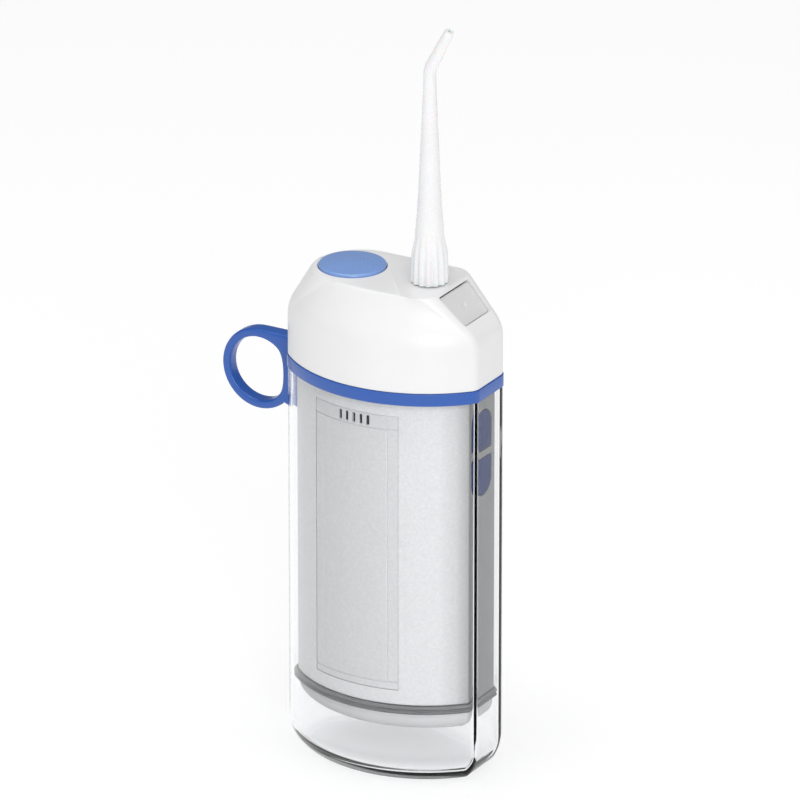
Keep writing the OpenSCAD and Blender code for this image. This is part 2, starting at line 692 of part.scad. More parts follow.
// Deck over the drive unit's top rim. It carries the nozzle's seat and the power switch's board.
module top_deck() color([0.90, 0.90, 0.88]) difference() {
    union() {
        prism(unit_inset + 0.1, deck_z, deck_z + 1.4);
        for (x = [-power_x - 8, -power_x + 8]) bar_z(1.6, deck_z + 1, deck_z + 2.3, x, 0);
        for (y = [-9, 9]) block([8, y - 1.2, deck_z + 1], [13.4, y + 1.2, latch_z - 0.3]);
    }
    bar_z(6.25, deck_z - 1, deck_z + 3, nozzle_x, 0);
    for (x = [-power_x - 8, -power_x + 8]) bar_z(0.6, deck_z - 1, deck_z + 3, x, 0);
}

module nozzle_seat() color([0.88, 0.89, 0.90]) difference() {
    union() {
        bar_z(3.2, hose_z - 3, 119, nozzle_x, 0);
        bar_z(6.2, 117.8, deck_z + 6.8, nozzle_x, 0);
        bar_z(7.4, deck_z + 1.42, deck_z + 2.6, nozzle_x, 0);
        bar_y(1.15, 3, 6.3, nozzle_x, hose_z);
    }
    bar_z(5, 119.2, 131, nozzle_x, 0);
    bar_z(1.2, hose_z - 1, 120, nozzle_x, 0);
    bar_y(0.7, 0, 7, nozzle_x, hose_z);
}

// Sleeve that turns in the seat and carries the nozzle's shank
module nozzle_collar() color([0.86, 0.87, 0.88]) difference() {
    bar_z(4.93, 119.4, deck_z + 6.7, nozzle_x, 0);
    bar_z(2.72, 118, 126, nozzle_x, 0);
    bar_z(3.1, 125.5, 132, nozzle_x, 0);
}

// Outside of the nozzle up to the bend: shank, latch bead and groove, neck, grip, shoulder, taper
module nozzle_body(bend_start) rotate_extrude() polygon([
    [0, 121], [2.2, 121], [2.6, 121.5],
    [2.6, 122.6], [2.15, 122.6], [2.15, 123.6], [2.6, 123.6],
    [2.6, 126.8], [2.95, 127.2], [2.95, 128.2], [2.6, 128.6], [2.6, latch_z - 0.5],
    [2.1, latch_z - 0.5], [2.1, latch_z + 2], [3.4, latch_z + 3], [3.4, grip_z],
    [grip_r - 0.2, grip_z], [grip_r, grip_z + 0.3], [grip_r - 0.35, grip_z + 8.8], [4.45, grip_z + 9.9],
    [3.95, grip_z + 11.3], [3.5, grip_z + 17.3], [3.12, grip_z + 23],
    [2.82, grip_z + 28.7], [2.6, grip_z + 34], [2.36, grip_z + 40], [2.08, grip_z + 46],
    [1.85, grip_z + 51.5], [tip_r, bend_start - 2], [tip_r, bend_start], [0, bend_start]]);

// Bent end of the nozzle: rings carried round the bend and out along the tip
module nozzle_bend(start, lead) {
    sides = 24;
    r = tip_r - 0.05;
    path = concat([[0, start - 2.5, 0, r]],
                  [for (i = [0:5]) let (t = bend_angle*i/5) [bend_r*(1 - cos(t)), start + bend_r*sin(t), t, r]],
                  [for (i = [1:2]) let (d = lead + (tip_len - lead)*i/2)
                   [d*sin(bend_angle), bend_z + d*cos(bend_angle), bend_angle, r - 0.3*i/2]]);
    skin([for (p = path) [for (j = [0:sides - 1]) let (u = p[3]*cos(360*j/sides), v = p[3]*sin(360*j/sides))
                          [p[0] + u*cos(p[2]), v, p[1] - u*sin(p[2])]]]);
}

module nozzle() color([0.93, 0.94, 0.95]) {
    lead = bend_r*tan(bend_angle/2);
    start = bend_z - lead;
    translate([nozzle_x, 0, 0]) difference() {
        union() {
            nozzle_body(start - 1);
            nozzle_bend(start, lead);
        }
        translate([0, 0, 120]) cylinder(r = 0.9, h = start - 124);
        translate([0, 0, start - 5]) cylinder(r = 0.62, h = bend_z - start + 5.2);
        translate([0, 0, bend_z]) rotate([0, bend_angle, 0]) cylinder(r = 0.45, h = tip_len + 2);
        for (i = [0:flutes - 1]) rotate(360*(i + 0.5)/flutes)
            translate([grip_r + 0.5, 0, grip_z - 1]) cylinder(r = 0.95, h = 14, $fn = 24);
    }
}

module nozzle_oring() color([0.15, 0.15, 0.16]) translate([nozzle_x, 0, 123.1]) rotate_extrude()
    translate([2.42, 0]) circle(r = 0.25);

// Slanted square button with a finger dimple and a retaining flange behind the wall
module release_button() color([0.90, 0.90, 0.91]) on_slant() difference() {
    union() {
        translate([0, 0, -3.4]) linear_extrude(2.7) release_outline(-0.25);
        translate([2.2, -8.05, -4]) cube([3.2, 16.1, 0.8]);
    }
    translate([5.6, 0, 1.6]) sphere(r = 2.6);
    translate([2.5, -4.5, -5]) cube([6.4, 9, 2.6]);
}

// Sliding plate round the nozzle's groove, with a bevelled end behind the button and a moulded spring arm
module latch_plate() color([0.88, 0.88, 0.86]) difference() {
    union() {
        translate([0, 5.5, 0]) rotate([90, 0, 0]) linear_extrude(11)
            polygon([[5.2, latch_z], [18, latch_z], [16.56, latch_z + 1.4], [5.2, latch_z + 1.4]]);
        block([1.6, -5, latch_z], [2.4, 2, latch_z + 1.2]);
        block([1.6, 1.2, latch_z], [5.4, 2, latch_z + 1.2]);
    }
    for (x = [0, 2]) bar_z(3.25, latch_z - 1, latch_z + 3, nozzle_x + x, 0);
    block([nozzle_x, -3.25, latch_z - 1], [nozzle_x + 2, 3.25, latch_z + 3]);
}

// Round domed disc with a hollow underside and a stem down to its switch
module power_button() color([0.25, 0.45, 0.82]) translate([-power_x, 0, head_top]) rotate_extrude()
    polygon([[0, power_proud + 0.45], [power_r*0.5, power_proud + 0.34], [power_r*0.8, power_proud + 0.16],
             [power_r - 0.5, power_proud - 0.02], [power_r - 0.12, power_proud - 0.22], [power_r, power_proud - 0.6],
             [power_r, -2.5], [power_r - 1.2, -2.5], [power_r - 1.2, -0.4], [2, -0.4], [2, -6.5], [0, -6.5]]);

module power_spring() color([0.72, 0.73, 0.74]) translate([-power_x, 0, head_top - 3.7])
    helix(3.4, 3.4, 3, 4, 0.25);

module head_board() color([0.10, 0.42, 0.24]) difference() {
    block([-power_x - 9.5, -6.5, deck_z + 2.32], [-power_x + 9.5, 6.5, deck_z + 3.3]);
    for (x = [-power_x - 8, -power_x + 8]) bar_z(0.7, deck_z, deck_z + 5, x, 0);
}

module power_switch() color([0.12, 0.12, 0.13]) {
    block([-power_x - 3, -3, deck_z + 3.32], [-power_x + 3, 3, deck_z + 5.6]);
    bar_z(1.7, deck_z + 5.5, deck_z + 6.6, -power_x, 0);
}

// ---- Side buttons ----

// Half-pill button through the wall, with a flange inside
module side_button(b) {
    side_pill(b, 0, wall_x - 1.8, wall_x + 0.1);
    side_pill(b, 0.7, wall_x - 2.5, wall_x - 1.7);
}
module upper_button() color([0.17, 0.30, 0.58]) side_button(1);
module lower_button() color([0.17, 0.30, 0.58]) side_button(0);

function side_mid(b) = side_button_z + b*(side_button_len[0] + side_button_gap) + side_button_len[b]/2;

// Silicone sheet that keeps water off the switches
module button_pad() color([0.35, 0.36, 0.38])
    block([board_x + 3.6, -5.5, side_button_z - 2], [board_x + 4.15, 5.5, side_mid(1) + 7.5]);

module control_board() color([0.10, 0.42, 0.24]) difference() {
    block([board_x, -7.5, side_button_z - 2], [board_x + 1, 7.5, 108]);
    for (z = [80.2, 106]) bar_x(0.8, board_x - 1, board_x + 2, 4.9, z);
}

module side_switches() color([0.12, 0.12, 0.13]) for (b = [0, 1]) {
    block([board_x + 1.02, -3, side_mid(b) - 2.6], [board_x + 3, 3, side_mid(b) + 2.6]);
    bar_x(1.6, board_x + 2.9, board_x + 3.5, 0, side_mid(b));
}

module board_screws() color([0.60, 0.61, 0.62]) for (z = [80.2, 106]) {
    bar_x(0.6, board_x - 4, board_x + 1.1, 4.9, z);
    bar_x(1.4, board_x + 1.03, board_x + 1.9, 4.9, z);
}

tank();
band_ring();
finger_loop();
fill_plug();
drive_shell();
end_cap();
seal_ring();
intake_filter();
suction_tube();
battery_cover();
battery_tray();
battery_cell();
contact_spring();
contact_plate();
chassis();
chassis_screws();
motor_can();
motor_endbell();
motor_magnets();
motor_leads();
armature();
motor_shaft();
pinion();
gear_axle();
face_gear();
connecting_rod();
wrist_pin();
piston();
piston_seal();
pump_cylinder();
pump_head();
inlet_valve();
outlet_valve();
outlet_hose();
head_shell();
head_gasket();
top_deck();
nozzle_seat();
nozzle_collar();
nozzle();
nozzle_oring();
release_button();
latch_plate();
power_button();
power_spring();
head_board();
power_switch();
upper_button();
lower_button();
button_pad();
control_board();
side_switches();
board_screws();
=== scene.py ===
from math import cos, pi, radians, sin

import bpy
import numpy as np
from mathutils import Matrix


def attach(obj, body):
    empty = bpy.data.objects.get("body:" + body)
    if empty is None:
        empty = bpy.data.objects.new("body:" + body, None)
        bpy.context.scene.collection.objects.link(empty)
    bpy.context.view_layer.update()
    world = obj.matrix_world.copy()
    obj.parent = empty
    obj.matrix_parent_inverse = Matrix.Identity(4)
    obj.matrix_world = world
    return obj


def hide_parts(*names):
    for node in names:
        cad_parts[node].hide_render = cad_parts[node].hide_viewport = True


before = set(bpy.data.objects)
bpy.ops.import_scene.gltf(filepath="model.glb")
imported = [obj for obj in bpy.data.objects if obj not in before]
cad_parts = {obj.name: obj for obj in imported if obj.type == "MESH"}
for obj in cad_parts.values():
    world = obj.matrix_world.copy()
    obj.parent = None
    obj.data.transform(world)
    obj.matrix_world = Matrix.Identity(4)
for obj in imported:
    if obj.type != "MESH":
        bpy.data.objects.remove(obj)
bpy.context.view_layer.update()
mm = 0.001
print("frame loaded:", len(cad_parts), "nodes")

# Camera, floor and light

view = {
    "azimuth": 30.0,       # degrees round from the front
    "elevation": 22.3,     # degrees above the floor
    "lens": 450.0,         # a long lens, close to parallel
    "distance": 2.63,
    "aim": (0.00133, 0.00077, 0.1015),
}
light = {
    "floorHalf": 12.0,
    "floorHeight": -0.0002,
    "floorColour": (0.62, 0.62, 0.623),
    "floorGlow": 0.48,            # the floor is a lit table, so it stays pale under the object
    "skyBright": 0.64,            # sky in front of the object
    "skyDim": 0.2,                # sky behind it
    "skyFront": (0.45, -0.75, 0.48),
    "skyReach": (-0.3, 0.9),      # cosines of the angle from the front where it is dim and bright
    "keyPower": 6.2,
    "keySize": 0.7,
    "keyPlace": (0.80, -1.08, 0.70),
    "topPower": 9.5,
    "topSize": 1.2,
    "topPlace": (-0.1, 0.0, 1.5),
}


def addCamera(v):
    # Stands back from the aim point along the direction of azimuth and elevation, looking at it
    a, e = radians(v["azimuth"]), radians(v["elevation"])
    back = np.array([sin(a) * cos(e), -cos(a) * cos(e), sin(e)])
    data = bpy.data.cameras.new("camera")
    data.lens = v["lens"]
    data.clip_end = 20
    camera = bpy.data.objects.new("camera", data)
    camera.location = np.array(v["aim"]) + back * v["distance"]
    camera.rotation_euler = (pi / 2 - e, 0, a)
    bpy.context.scene.collection.objects.link(camera)
    bpy.context.scene.camera = camera


def addLamp(name, place, size, power):
    # Square lamp turned to face the middle of the object
    data = bpy.data.lights.new(name, "AREA")
    data.size = size
    data.energy = power
    lamp = bpy.data.objects.new(name, data)
    lamp.location = place
    away = lamp.location.copy()
    away.z -= 0.1
    lamp.rotation_euler = away.to_track_quat("Z", "Y").to_euler()
    bpy.context.scene.collection.objects.link(lamp)


def addSky(v):
    # Sky that fades from bright in front to dim behind, as a function of the angle from a chosen direction
    world = bpy.data.worlds.new("sky")
    bpy.context.scene.world = world
    world.use_nodes = True
    nt = world.node_tree
    coord = nt.nodes.new("ShaderNodeTexCoord")
    facing = nt.nodes.new("ShaderNodeVectorMath")
    facing.operation = "DOT_PRODUCT"
    facing.inputs[1].default_value = v["skyFront"]
    span = nt.nodes.new("ShaderNodeMapRange")
    span.interpolation_type = "SMOOTHSTEP"
    span.inputs["From Min"].default_value = v["skyReach"][0]
    span.inputs["From Max"].default_value = v["skyReach"][1]
    span.inputs["To Min"].default_value = v["skyDim"]
    span.inputs["To Max"].default_value = v["skyBright"]
    nt.links.new(coord.outputs["Generated"], facing.inputs[0])
    nt.links.new(facing.outputs["Value"], span.inputs["Value"])
    nt.links.new(span.outputs[0], nt.nodes["Background"].inputs["Strength"])
    nt.nodes["Background"].inputs["Color"].default_value = (1, 1, 1, 1)


def addFloor(v):
    # Square sheet just under the object
    half, z = v["floorHalf"], v["floorHeight"]
    mesh = bpy.data.meshes.new("floor")
    corners = [(-half, -half, z), (half, -half, z), (half, half, z), (-half, half, z)]
    mesh.from_pydata(corners, [], [(0, 1, 2, 3)])
    floor = bpy.data.objects.new("floor", mesh)
    bpy.context.scene.collection.objects.link(floor)
    paint = bpy.data.materials.new("floorPaint")
    paint.use_nodes = True
    shader = paint.node_tree.nodes["Principled BSDF"]
    shader.inputs["Base Color"].default_value = (*v["floorColour"], 1)
    shader.inputs["Roughness"].default_value = 0.9
    shader.inputs["Specular IOR Level"].default_value = 0.1
    shader.inputs["Emission Color"].default_value = (1, 1, 1, 1)
    shader.inputs["Emission Strength"].default_value = v["floorGlow"]
    mesh.materials.append(paint)


addCamera(view)
addFloor(light)
addSky(light)
addLamp("keyLamp", light["keyPlace"], light["keySize"], light["keyPower"])
addLamp("topLamp", light["topPlace"], light["topSize"], light["topPower"])
bpy.context.scene.view_settings.view_transform = "Standard"
print("camera, floor and light set")

# Materials


class Graph:
    # Short hand for a material's nodes: new node, link, and a value on a socket
    def __init__(self, name):
        self.material = bpy.data.materials.new(name)
        self.material.use_nodes = True
        self.tree = self.material.node_tree
        self.shader = self.tree.nodes["Principled BSDF"]
        self.place = self.add("ShaderNodeTexCoord").outputs["Object"]

    def add(self, kind, **values):
        # New node; each value goes to the node's own setting, or else to its socket of that name
        node = self.tree.nodes.new(kind)
        for key, value in values.items():
            if hasattr(node, key):
                setattr(node, key, value)
            else:
                node.inputs[key.replace("_", " ")].default_value = value
        return node

    def link(self, source, target):
        # Joins an output to an input
        self.tree.links.new(source, target)

    def noise(self, size, detail=2.0, stretch=(1, 1, 1)):
        # Grain of a given size in metres, drawn out by stretch
        mapping = self.add("ShaderNodeMapping")
        mapping.inputs["Scale"].default_value = tuple(1 / (size * s) for s in stretch)
        noise = self.add("ShaderNodeTexNoise", Scale=1.0, Detail=detail)
        self.link(self.place, mapping.inputs["Vector"])
        self.link(mapping.outputs[0], noise.inputs["Vector"])
        return noise.outputs["Fac"]

    def ramp(self, value, stops):
        # Colour as a function of a value: stops are (position, colour)
        node = self.add("ShaderNodeValToRGB")
        while len(node.color_ramp.elements) < len(stops):
            node.color_ramp.elements.new(0.5)
        for element, (position, colour) in zip(node.color_ramp.elements, stops):
            element.position = position
            element.color = (*colour, 1)
        self.link(value, node.inputs["Fac"])
        return node.outputs["Color"]

    def spread(self, value, low, high, start=0.25, end=0.75):
        # Number as a function of a value, from low to high
        node = self.add("ShaderNodeMapRange")
        node.inputs["From Min"].default_value = start
        node.inputs["From Max"].default_value = end
        node.inputs["To Min"].default_value = low
        node.inputs["To Max"].default_value = high
        self.link(value, node.inputs["Value"])
        return node.outputs[0]

    def bump(self, value, strength, height):
        # Surface raised in proportion to a value, by up to height in metres
        node = self.add("ShaderNodeBump")
        node.inputs["Strength"].default_value = strength
        node.inputs["Distance"].default_value = height
        self.link(value, node.inputs["Height"])
        self.link(node.outputs[0], self.shader.inputs["Normal"])


def tint(colour, k):
    # Colour made lighter or darker by the factor k, kept below full white
    return tuple(min(c * k, 0.98) for c in colour)


plasticUsual = {             # what a moulded plastic has unless its finish says otherwise
    "grain": 0.0005,         # metres
    "cloud": 0.012,
    "tone": 0.03,            # how far the colour drifts
    "bump": 0.12,
    "height": 0.00004,
    "shine": 0.5,
    "coat": 0.0,
    "coatRough": 0.15,
    "glow": 0.0,             # light that spreads under the surface
    "glowDepth": 0.002,
    "clear": 0.0,
}


def mouldedPlastic(name, own):
    # Plastic with a fine mould texture: two grains move the colour, the roughness and the surface
    v = {**plasticUsual, **own}
    g = Graph(name)
    fine = g.noise(v["grain"], 3)
    broad = g.noise(v["cloud"], 2)
    c, tone = v["colour"], v["tone"]
    g.link(g.ramp(broad, [(0.3, tint(c, 1 - tone)), (0.7, tint(c, 1 + tone))]),
           g.shader.inputs["Base Color"])
    g.link(g.spread(fine, v["rough"] - 0.05, v["rough"] + 0.06), g.shader.inputs["Roughness"])
    g.bump(fine, v["bump"], v["height"])
    sockets = {"Specular IOR Level": "shine", "Coat Weight": "coat", "Coat Roughness": "coatRough",
               "Subsurface Weight": "glow", "Subsurface Scale": "glowDepth", "Transmission Weight": "clear"}
    for socket, key in sockets.items():
        g.shader.inputs[socket].default_value = v[key]
    return g.material


def drawnMetal(name, v):
    # Metal with fine lines drawn out along Z, as turned or drawn stock has
    g = Graph(name)
    grain, stretch = 0.0002, (1, 1, 20)
    lines = g.noise(grain, 2, stretch)
    c = v["colour"]
    g.link(g.ramp(lines, [(0.3, tint(c, 0.86)), (0.7, tint(c, 1.06))]), g.shader.inputs["Base Color"])
    g.link(g.spread(lines, v["rough"] - 0.08, v["rough"] + 0.1), g.shader.inputs["Roughness"])
    g.bump(lines, 0.15, 0.00002)
    g.shader.inputs["Metallic"].default_value = 1.0
    return g.material


def sparklePaint(name, v):
    # Silver paint: brightness is half a flake's own number and half a mottle's, and each
    # flake has its own tilt. Along X it is darkened by the shares in fade, between two X places: painted
    # shade where the casing's rounded corner and flat end facet turn away from the light.
    g = Graph(name)
    cells = g.add("ShaderNodeTexVoronoi", Scale=1 / v["flake"])
    g.link(g.place, cells.inputs["Vector"])
    split = g.add("ShaderNodeSeparateColor")
    g.link(cells.outputs["Color"], split.inputs[0])
    mottle = g.spread(g.noise(v["mottle"], 2), 0, 1, 0.3, 0.7)
    mean = g.add("ShaderNodeMix", data_type="FLOAT")
    mean.inputs["Factor"].default_value = 0.5
    g.link(split.outputs[0], mean.inputs[2])
    g.link(mottle, mean.inputs[3])
    # painted shade: a grey ramp along X multiplies the silver, darker towards the +X corner and end facet
    axes = g.add("ShaderNodeSeparateXYZ")
    g.link(g.place, axes.inputs[0])
    along = g.spread(axes.outputs["X"], 0, 1, v["paintedShadeStart"], v["paintedShadeEnd"])
    paintedShadeColour = g.ramp(along, [(place, (grey, grey, grey)) for place, grey in v["fade"]])
    shade = g.add("ShaderNodeVectorMath", operation="MULTIPLY")
    c = v["colour"]
    silver = g.ramp(mean.outputs[0], [(0.15, tint(c, 0.945)), (0.55, c), (0.95, tint(c, 1.08))])
    g.link(silver, shade.inputs[0])
    g.link(paintedShadeColour, shade.inputs[1])
    g.link(shade.outputs["Vector"], g.shader.inputs["Base Color"])
    g.link(g.spread(split.outputs[1], v["rough"] - 0.1, v["rough"] + 0.1, 0, 1),
           g.shader.inputs["Roughness"])
    g.bump(split.outputs[2], v["tilt"], v["flake"] * 0.2)
    g.shader.inputs["Metallic"].default_value = v["metal"]
    return g.material


def clearPlastic(name, v):
    # Clear moulding: faint polish marks in the roughness, and lamps' light goes through it
    g = Graph(name)
    g.shader.inputs["Base Color"].default_value = (*v["colour"], 1)
    g.shader.inputs["Transmission Weight"].default_value = 1.0
    g.shader.inputs["IOR"].default_value = v["ior"]
    g.shader.inputs["Specular Tint"].default_value = (*v["sheen"], 1)
    marks = g.noise(0.004, 4)
    g.link(g.spread(marks, 0.0, v["rough"]), g.shader.inputs["Roughness"])
    path = g.add("ShaderNodeLightPath")
    pane = g.add("ShaderNodeBsdfTransparent")
    pane.inputs["Color"].default_value = (*v["shade"], 1)
    mix = g.add("ShaderNodeMixShader")
    g.link(path.outputs["Is Shadow Ray"], mix.inputs[0])
    g.link(g.shader.outputs[0], mix.inputs[1])
    g.link(pane.outputs[0], mix.inputs[2])
    g.link(mix.outputs[0], g.tree.nodes["Material Output"].inputs["Surface"])
    return g.material


def woundCopper(name, v):
    # Enamelled wire: close bands round the coil's height; the dark part of each band is painted shade
    # between the turns
    g = Graph(name)
    wave = g.add("ShaderNodeTexWave", Scale=1 / (v["wire"] * 6.3), Distortion=0.6)
    wave.bands_direction = "Z"
    g.link(g.place, wave.inputs["Vector"])
    g.link(g.ramp(wave.outputs["Fac"], [(0.1, tint(v["colour"], 0.35)), (0.7, v["colour"])]),
           g.shader.inputs["Base Color"])
    g.link(g.spread(wave.outputs["Fac"], 0.5, 0.25), g.shader.inputs["Roughness"])
    g.bump(wave.outputs["Fac"], 0.5, 0.00008)
    g.shader.inputs["Metallic"].default_value = 1.0
    return g.material


def printedBoard(name, v):
    # Circuit board: green lacquer with lighter tracks in a brick pattern
    g = Graph(name)
    turn = g.add("ShaderNodeMapping")
    turn.inputs["Rotation"].default_value = v["turn"]
    brick = g.add("ShaderNodeTexBrick", Scale=1 / 0.004, Mortar_Size=0.035, Mortar_Smooth=0.1)
    brick.inputs["Color1"].default_value = (*v["colour"], 1)
    brick.inputs["Color2"].default_value = (*tint(v["colour"], 0.8), 1)
    brick.inputs["Mortar"].default_value = (*v["track"], 1)
    g.link(g.place, turn.inputs["Vector"])
    g.link(turn.outputs[0], brick.inputs["Vector"])
    g.link(brick.outputs["Color"], g.shader.inputs["Base Color"])
    g.link(g.spread(g.noise(0.001), 0.25, 0.4), g.shader.inputs["Roughness"])
    g.bump(brick.outputs["Fac"], 0.3, 0.00004)
    return g.material


silver = {"flake": 0.00017, "mottle": 0.0008, "rough": 0.42, "tilt": 0.12, "metal": 0.3,
          "paintedShadeStart": 0.020, "paintedShadeEnd": 0.027}
board = {"colour": (0.01, 0.11, 0.04), "track": (0.05, 0.30, 0.12)}
recipes = {                  # kind of material, and its values
    "clearTank": (clearPlastic, {"colour": (0.985, 0.992, 0.996), "shade": (0.96, 0.97, 0.98), "ior": 1.42,
                                 "rough": 0.01, "sheen": (0.05, 0.05, 0.05)}),
    "blueTrim": (mouldedPlastic, {"colour": (0.014, 0.095, 0.42), "rough": 0.34, "coat": 0.3}),
    "blueGloss": (mouldedPlastic, {"colour": (0.20, 0.35, 0.72), "rough": 0.3, "coat": 0.6, "bump": 0.01}),
    # side buttons' dark navy: partly their own blue, partly painted shade of the end facet they sit on
    "blueDark": (mouldedPlastic, {"colour": (0.006, 0.028, 0.14), "rough": 0.6, "shine": 0.05}),
    "milkSilicone": (mouldedPlastic, {"colour": (0.80, 0.83, 0.86), "rough": 0.55, "glow": 0.3}),
    # the casing's fade is painted shade, darkening it over its rounded +X corner and flat end facet
    "silverPaint": (sparklePaint, {**silver, "colour": (0.73, 0.733, 0.737),
                                   "fade": [(0, 1), (0.5, 0.85), (0.83, 0.58), (0.86, 0.30)]}),
    # the cover's paint is a little darker than the casing's: painted shade, as the flatter plate faces
    # further from the light; its fade is even
    "silverCover": (sparklePaint, {**silver, "colour": (0.67, 0.673, 0.677), "fade": [(0, 1), (1, 1)]}),
    "slotShade": (mouldedPlastic, {"colour": (0.05, 0.05, 0.052), "rough": 0.6}),
    "leadRed": (mouldedPlastic, {"colour": (0.32, 0.02, 0.015), "rough": 0.45}),
    "greyEnd": (mouldedPlastic, {"colour": (0.62, 0.623, 0.626), "rough": 0.5}),
    "darkSeal": (mouldedPlastic, {"colour": (0.19, 0.19, 0.193), "rough": 0.7, "tone": 0.08}),
    "darkPlastic": (mouldedPlastic, {"colour": (0.035, 0.036, 0.038), "rough": 0.5, "tone": 0.15}),
    "whiteSatin": (mouldedPlastic, {"colour": (0.84, 0.84, 0.845), "rough": 0.38, "coat": 0.1, "tone": 0.012,
                                    "bump": 0.06}),
    "whiteButton": (mouldedPlastic, {"colour": (0.70, 0.70, 0.705), "rough": 0.42, "tone": 0.015}),
    "milkyNozzle": (mouldedPlastic, {"colour": (0.86, 0.865, 0.875), "rough": 0.25, "glow": 0.25,
                                     "tone": 0.015, "bump": 0.04, "coat": 0.2}),
    "naturalPlastic": (mouldedPlastic, {"colour": (0.76, 0.76, 0.72), "rough": 0.5}),
    "acetal": (mouldedPlastic, {"colour": (0.82, 0.82, 0.77), "rough": 0.38, "glow": 0.1}),
    "clearHose": (mouldedPlastic, {"colour": (0.80, 0.83, 0.85), "rough": 0.25, "clear": 0.55,
                                   "bump": 0.03}),
    "cellWrap": (mouldedPlastic, {"colour": (0.05, 0.25, 0.12), "rough": 0.3, "coat": 0.6, "tone": 0.08}),
    "springSteel": (drawnMetal, {"colour": (0.60, 0.60, 0.61), "rough": 0.28}),
    "motorSteel": (drawnMetal, {"colour": (0.55, 0.56, 0.57), "rough": 0.3}),
    "magnet": (mouldedPlastic, {"colour": (0.05, 0.047, 0.045), "rough": 0.7, "tone": 0.2, "bump": 0.4}),
    "brass": (drawnMetal, {"colour": (0.72, 0.55, 0.24), "rough": 0.25}),
    "copperWinding": (woundCopper, {"colour": (0.65, 0.28, 0.12), "wire": 0.0003}),
    "headBoardGreen": (printedBoard, {**board, "turn": (0, 0, 0)}),
    "controlBoardGreen": (printedBoard, {**board, "turn": (0, pi / 2, 0)}),
}
finishes = {name: make(name, values) for name, (make, values) in recipes.items()}

# The finish of each CAD piece that is shown as it stands
keptNodes = {
    "darkPlastic": ["intake_filter", "battery_tray", "motor_endbell", "button_pad", "power_switch",
                    "side_switches"],
    "clearHose": ["suction_tube", "outlet_hose"],
    "cellWrap": ["battery_cell"],
    "springSteel": ["contact_spring", "contact_plate", "chassis_screws", "motor_shaft", "gear_axle",
                    "wrist_pin", "power_spring", "board_screws"],
    "naturalPlastic": ["chassis", "top_deck", "latch_plate", "nozzle_seat", "nozzle_collar", "pump_cylinder",
                       "pump_head"],
    "acetal": ["face_gear", "connecting_rod", "piston"],
    "motorSteel": ["motor_can"],
    "magnet": ["motor_magnets"],
    "copperWinding": ["armature"],
    "brass": ["pinion"],
    "leadRed": ["motor_leads"],
    "darkSeal": ["piston_seal", "inlet_valve", "outlet_valve", "head_gasket", "nozzle_oring"],
    "headBoardGreen": ["head_board"],
    "controlBoardGreen": ["control_board"],
}
for finishName, nodeNames in keptNodes.items():
    for nodeName in nodeNames:
        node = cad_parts[nodeName]
        node.data.materials.clear()
        node.data.materials.append(finishes[finishName])
print("materials ready:", len(finishes))

# Outlines and surfaces

section = {
    "halfWidth": 29.0,       # millimetres, across the two ends
    "halfDepth": 20.5,
    "faceRadius": 38.0,      # front and back faces
    "buttonCorner": 3.5,
    "loopCorner": 10.0,
}


def arc(cx, cy, r, a0, a1, n):
    # n points on a circle about (cx, cy), from angle a0 to a1
    t = np.linspace(a0, a1, n)
    return np.stack([cx + r * np.cos(t), cy + r * np.sin(t)], 1)


def lensOutline(ap, am, b, r, cp, cm):
    # Flat end, corner arc, long face arc, corner arc, flat end, then the same mirrored in the X axis
    centre = r - b
    ym = centre - np.sqrt((r - cm) ** 2 - (am - cm) ** 2)
    yp = centre - np.sqrt((r - cp) ** 2 - (ap - cp) ** 2)
    fm = np.arctan2(ym - centre, cm - am) + 2 * pi
    fp = np.arctan2(yp - centre, ap - cp) + 2 * pi
    front = np.concatenate([arc(cm - am, ym, cm, pi, fm, 28)[:-1], arc(0, centre, r, fm, fp, 80)[:-1],
                            arc(ap - cp, yp, cp, fp, 2 * pi, 18)])
    back = front[::-1] * (1, -1)
    t = np.linspace(0, 1, 12)[1:-1, None]
    buttonFlat = front[-1] * (1 - t) + back[0] * t
    loopFlat = back[-1] * (1 - t) + front[0] * t
    return np.concatenate([front, buttonFlat, back, loopFlat])


def bodyOutline(inset):
    # The body's section, moved inwards
    s = section
    return lensOutline(s["halfWidth"] - inset, s["halfWidth"] - inset, s["halfDepth"] - inset,
                       s["faceRadius"] - inset, max(s["buttonCorner"] - inset, 0.8), s["loopCorner"] - inset)


def ringAt(outline, z):
    # An outline lifted to height z, in metres
    return np.column_stack([outline, np.full(len(outline), z)]) * mm


def stack(profile):
    # Rings of the body's section for a list of (inset, height)
    return np.array([ringAt(bodyOutline(inset), z) for inset, z in profile])


def gridFaces(rows, columns, closed):
    # Quads between neighbouring rings of a grid; closed joins the last ring to the first
    i = np.arange(rows if closed else rows - 1)[:, None]
    j = np.arange(columns)[None, :]
    nextRow, nextColumn = (i + 1) % rows, (j + 1) % columns
    quads = np.stack([i * columns + j, i * columns + nextColumn,
                      nextRow * columns + nextColumn, nextRow * columns + j], -1)
    return quads.reshape(-1, 4).tolist()


def ringSolid(name, rings, closed=False):
    # Closed mesh over a stack of rings: quads round the sides, and a flat face on the first and last ring
    rings = np.asarray(rings)
    rows, columns = rings.shape[:2]
    faces = gridFaces(rows, columns, closed)
    if not closed:
        faces += [list(range(columns))[::-1], list(range((rows - 1) * columns, rows * columns))]
    mesh = bpy.data.meshes.new(name)
    mesh.from_pydata(rings.reshape(-1, 3).tolist(), [], faces)
    piece = bpy.data.objects.new(name, mesh)
    bpy.context.scene.collection.objects.link(piece)
    return piece


def bake(piece):
    # Puts the result of a piece's modifiers into its mesh
    graph = bpy.context.evaluated_depsgraph_get()
    done = bpy.data.meshes.new_from_object(piece.evaluated_get(graph))
    piece.modifiers.clear()
    piece.data = done


def combine(piece, others, operation):
    # Cuts the other solids out of a piece, or joins them to it
    for other in others:
        step = piece.modifiers.new(other.name, "BOOLEAN")
        step.operation = operation
        step.object = other
        step.solver = "EXACT"
    bake(piece)
    for other in others:
        bpy.data.objects.remove(other)


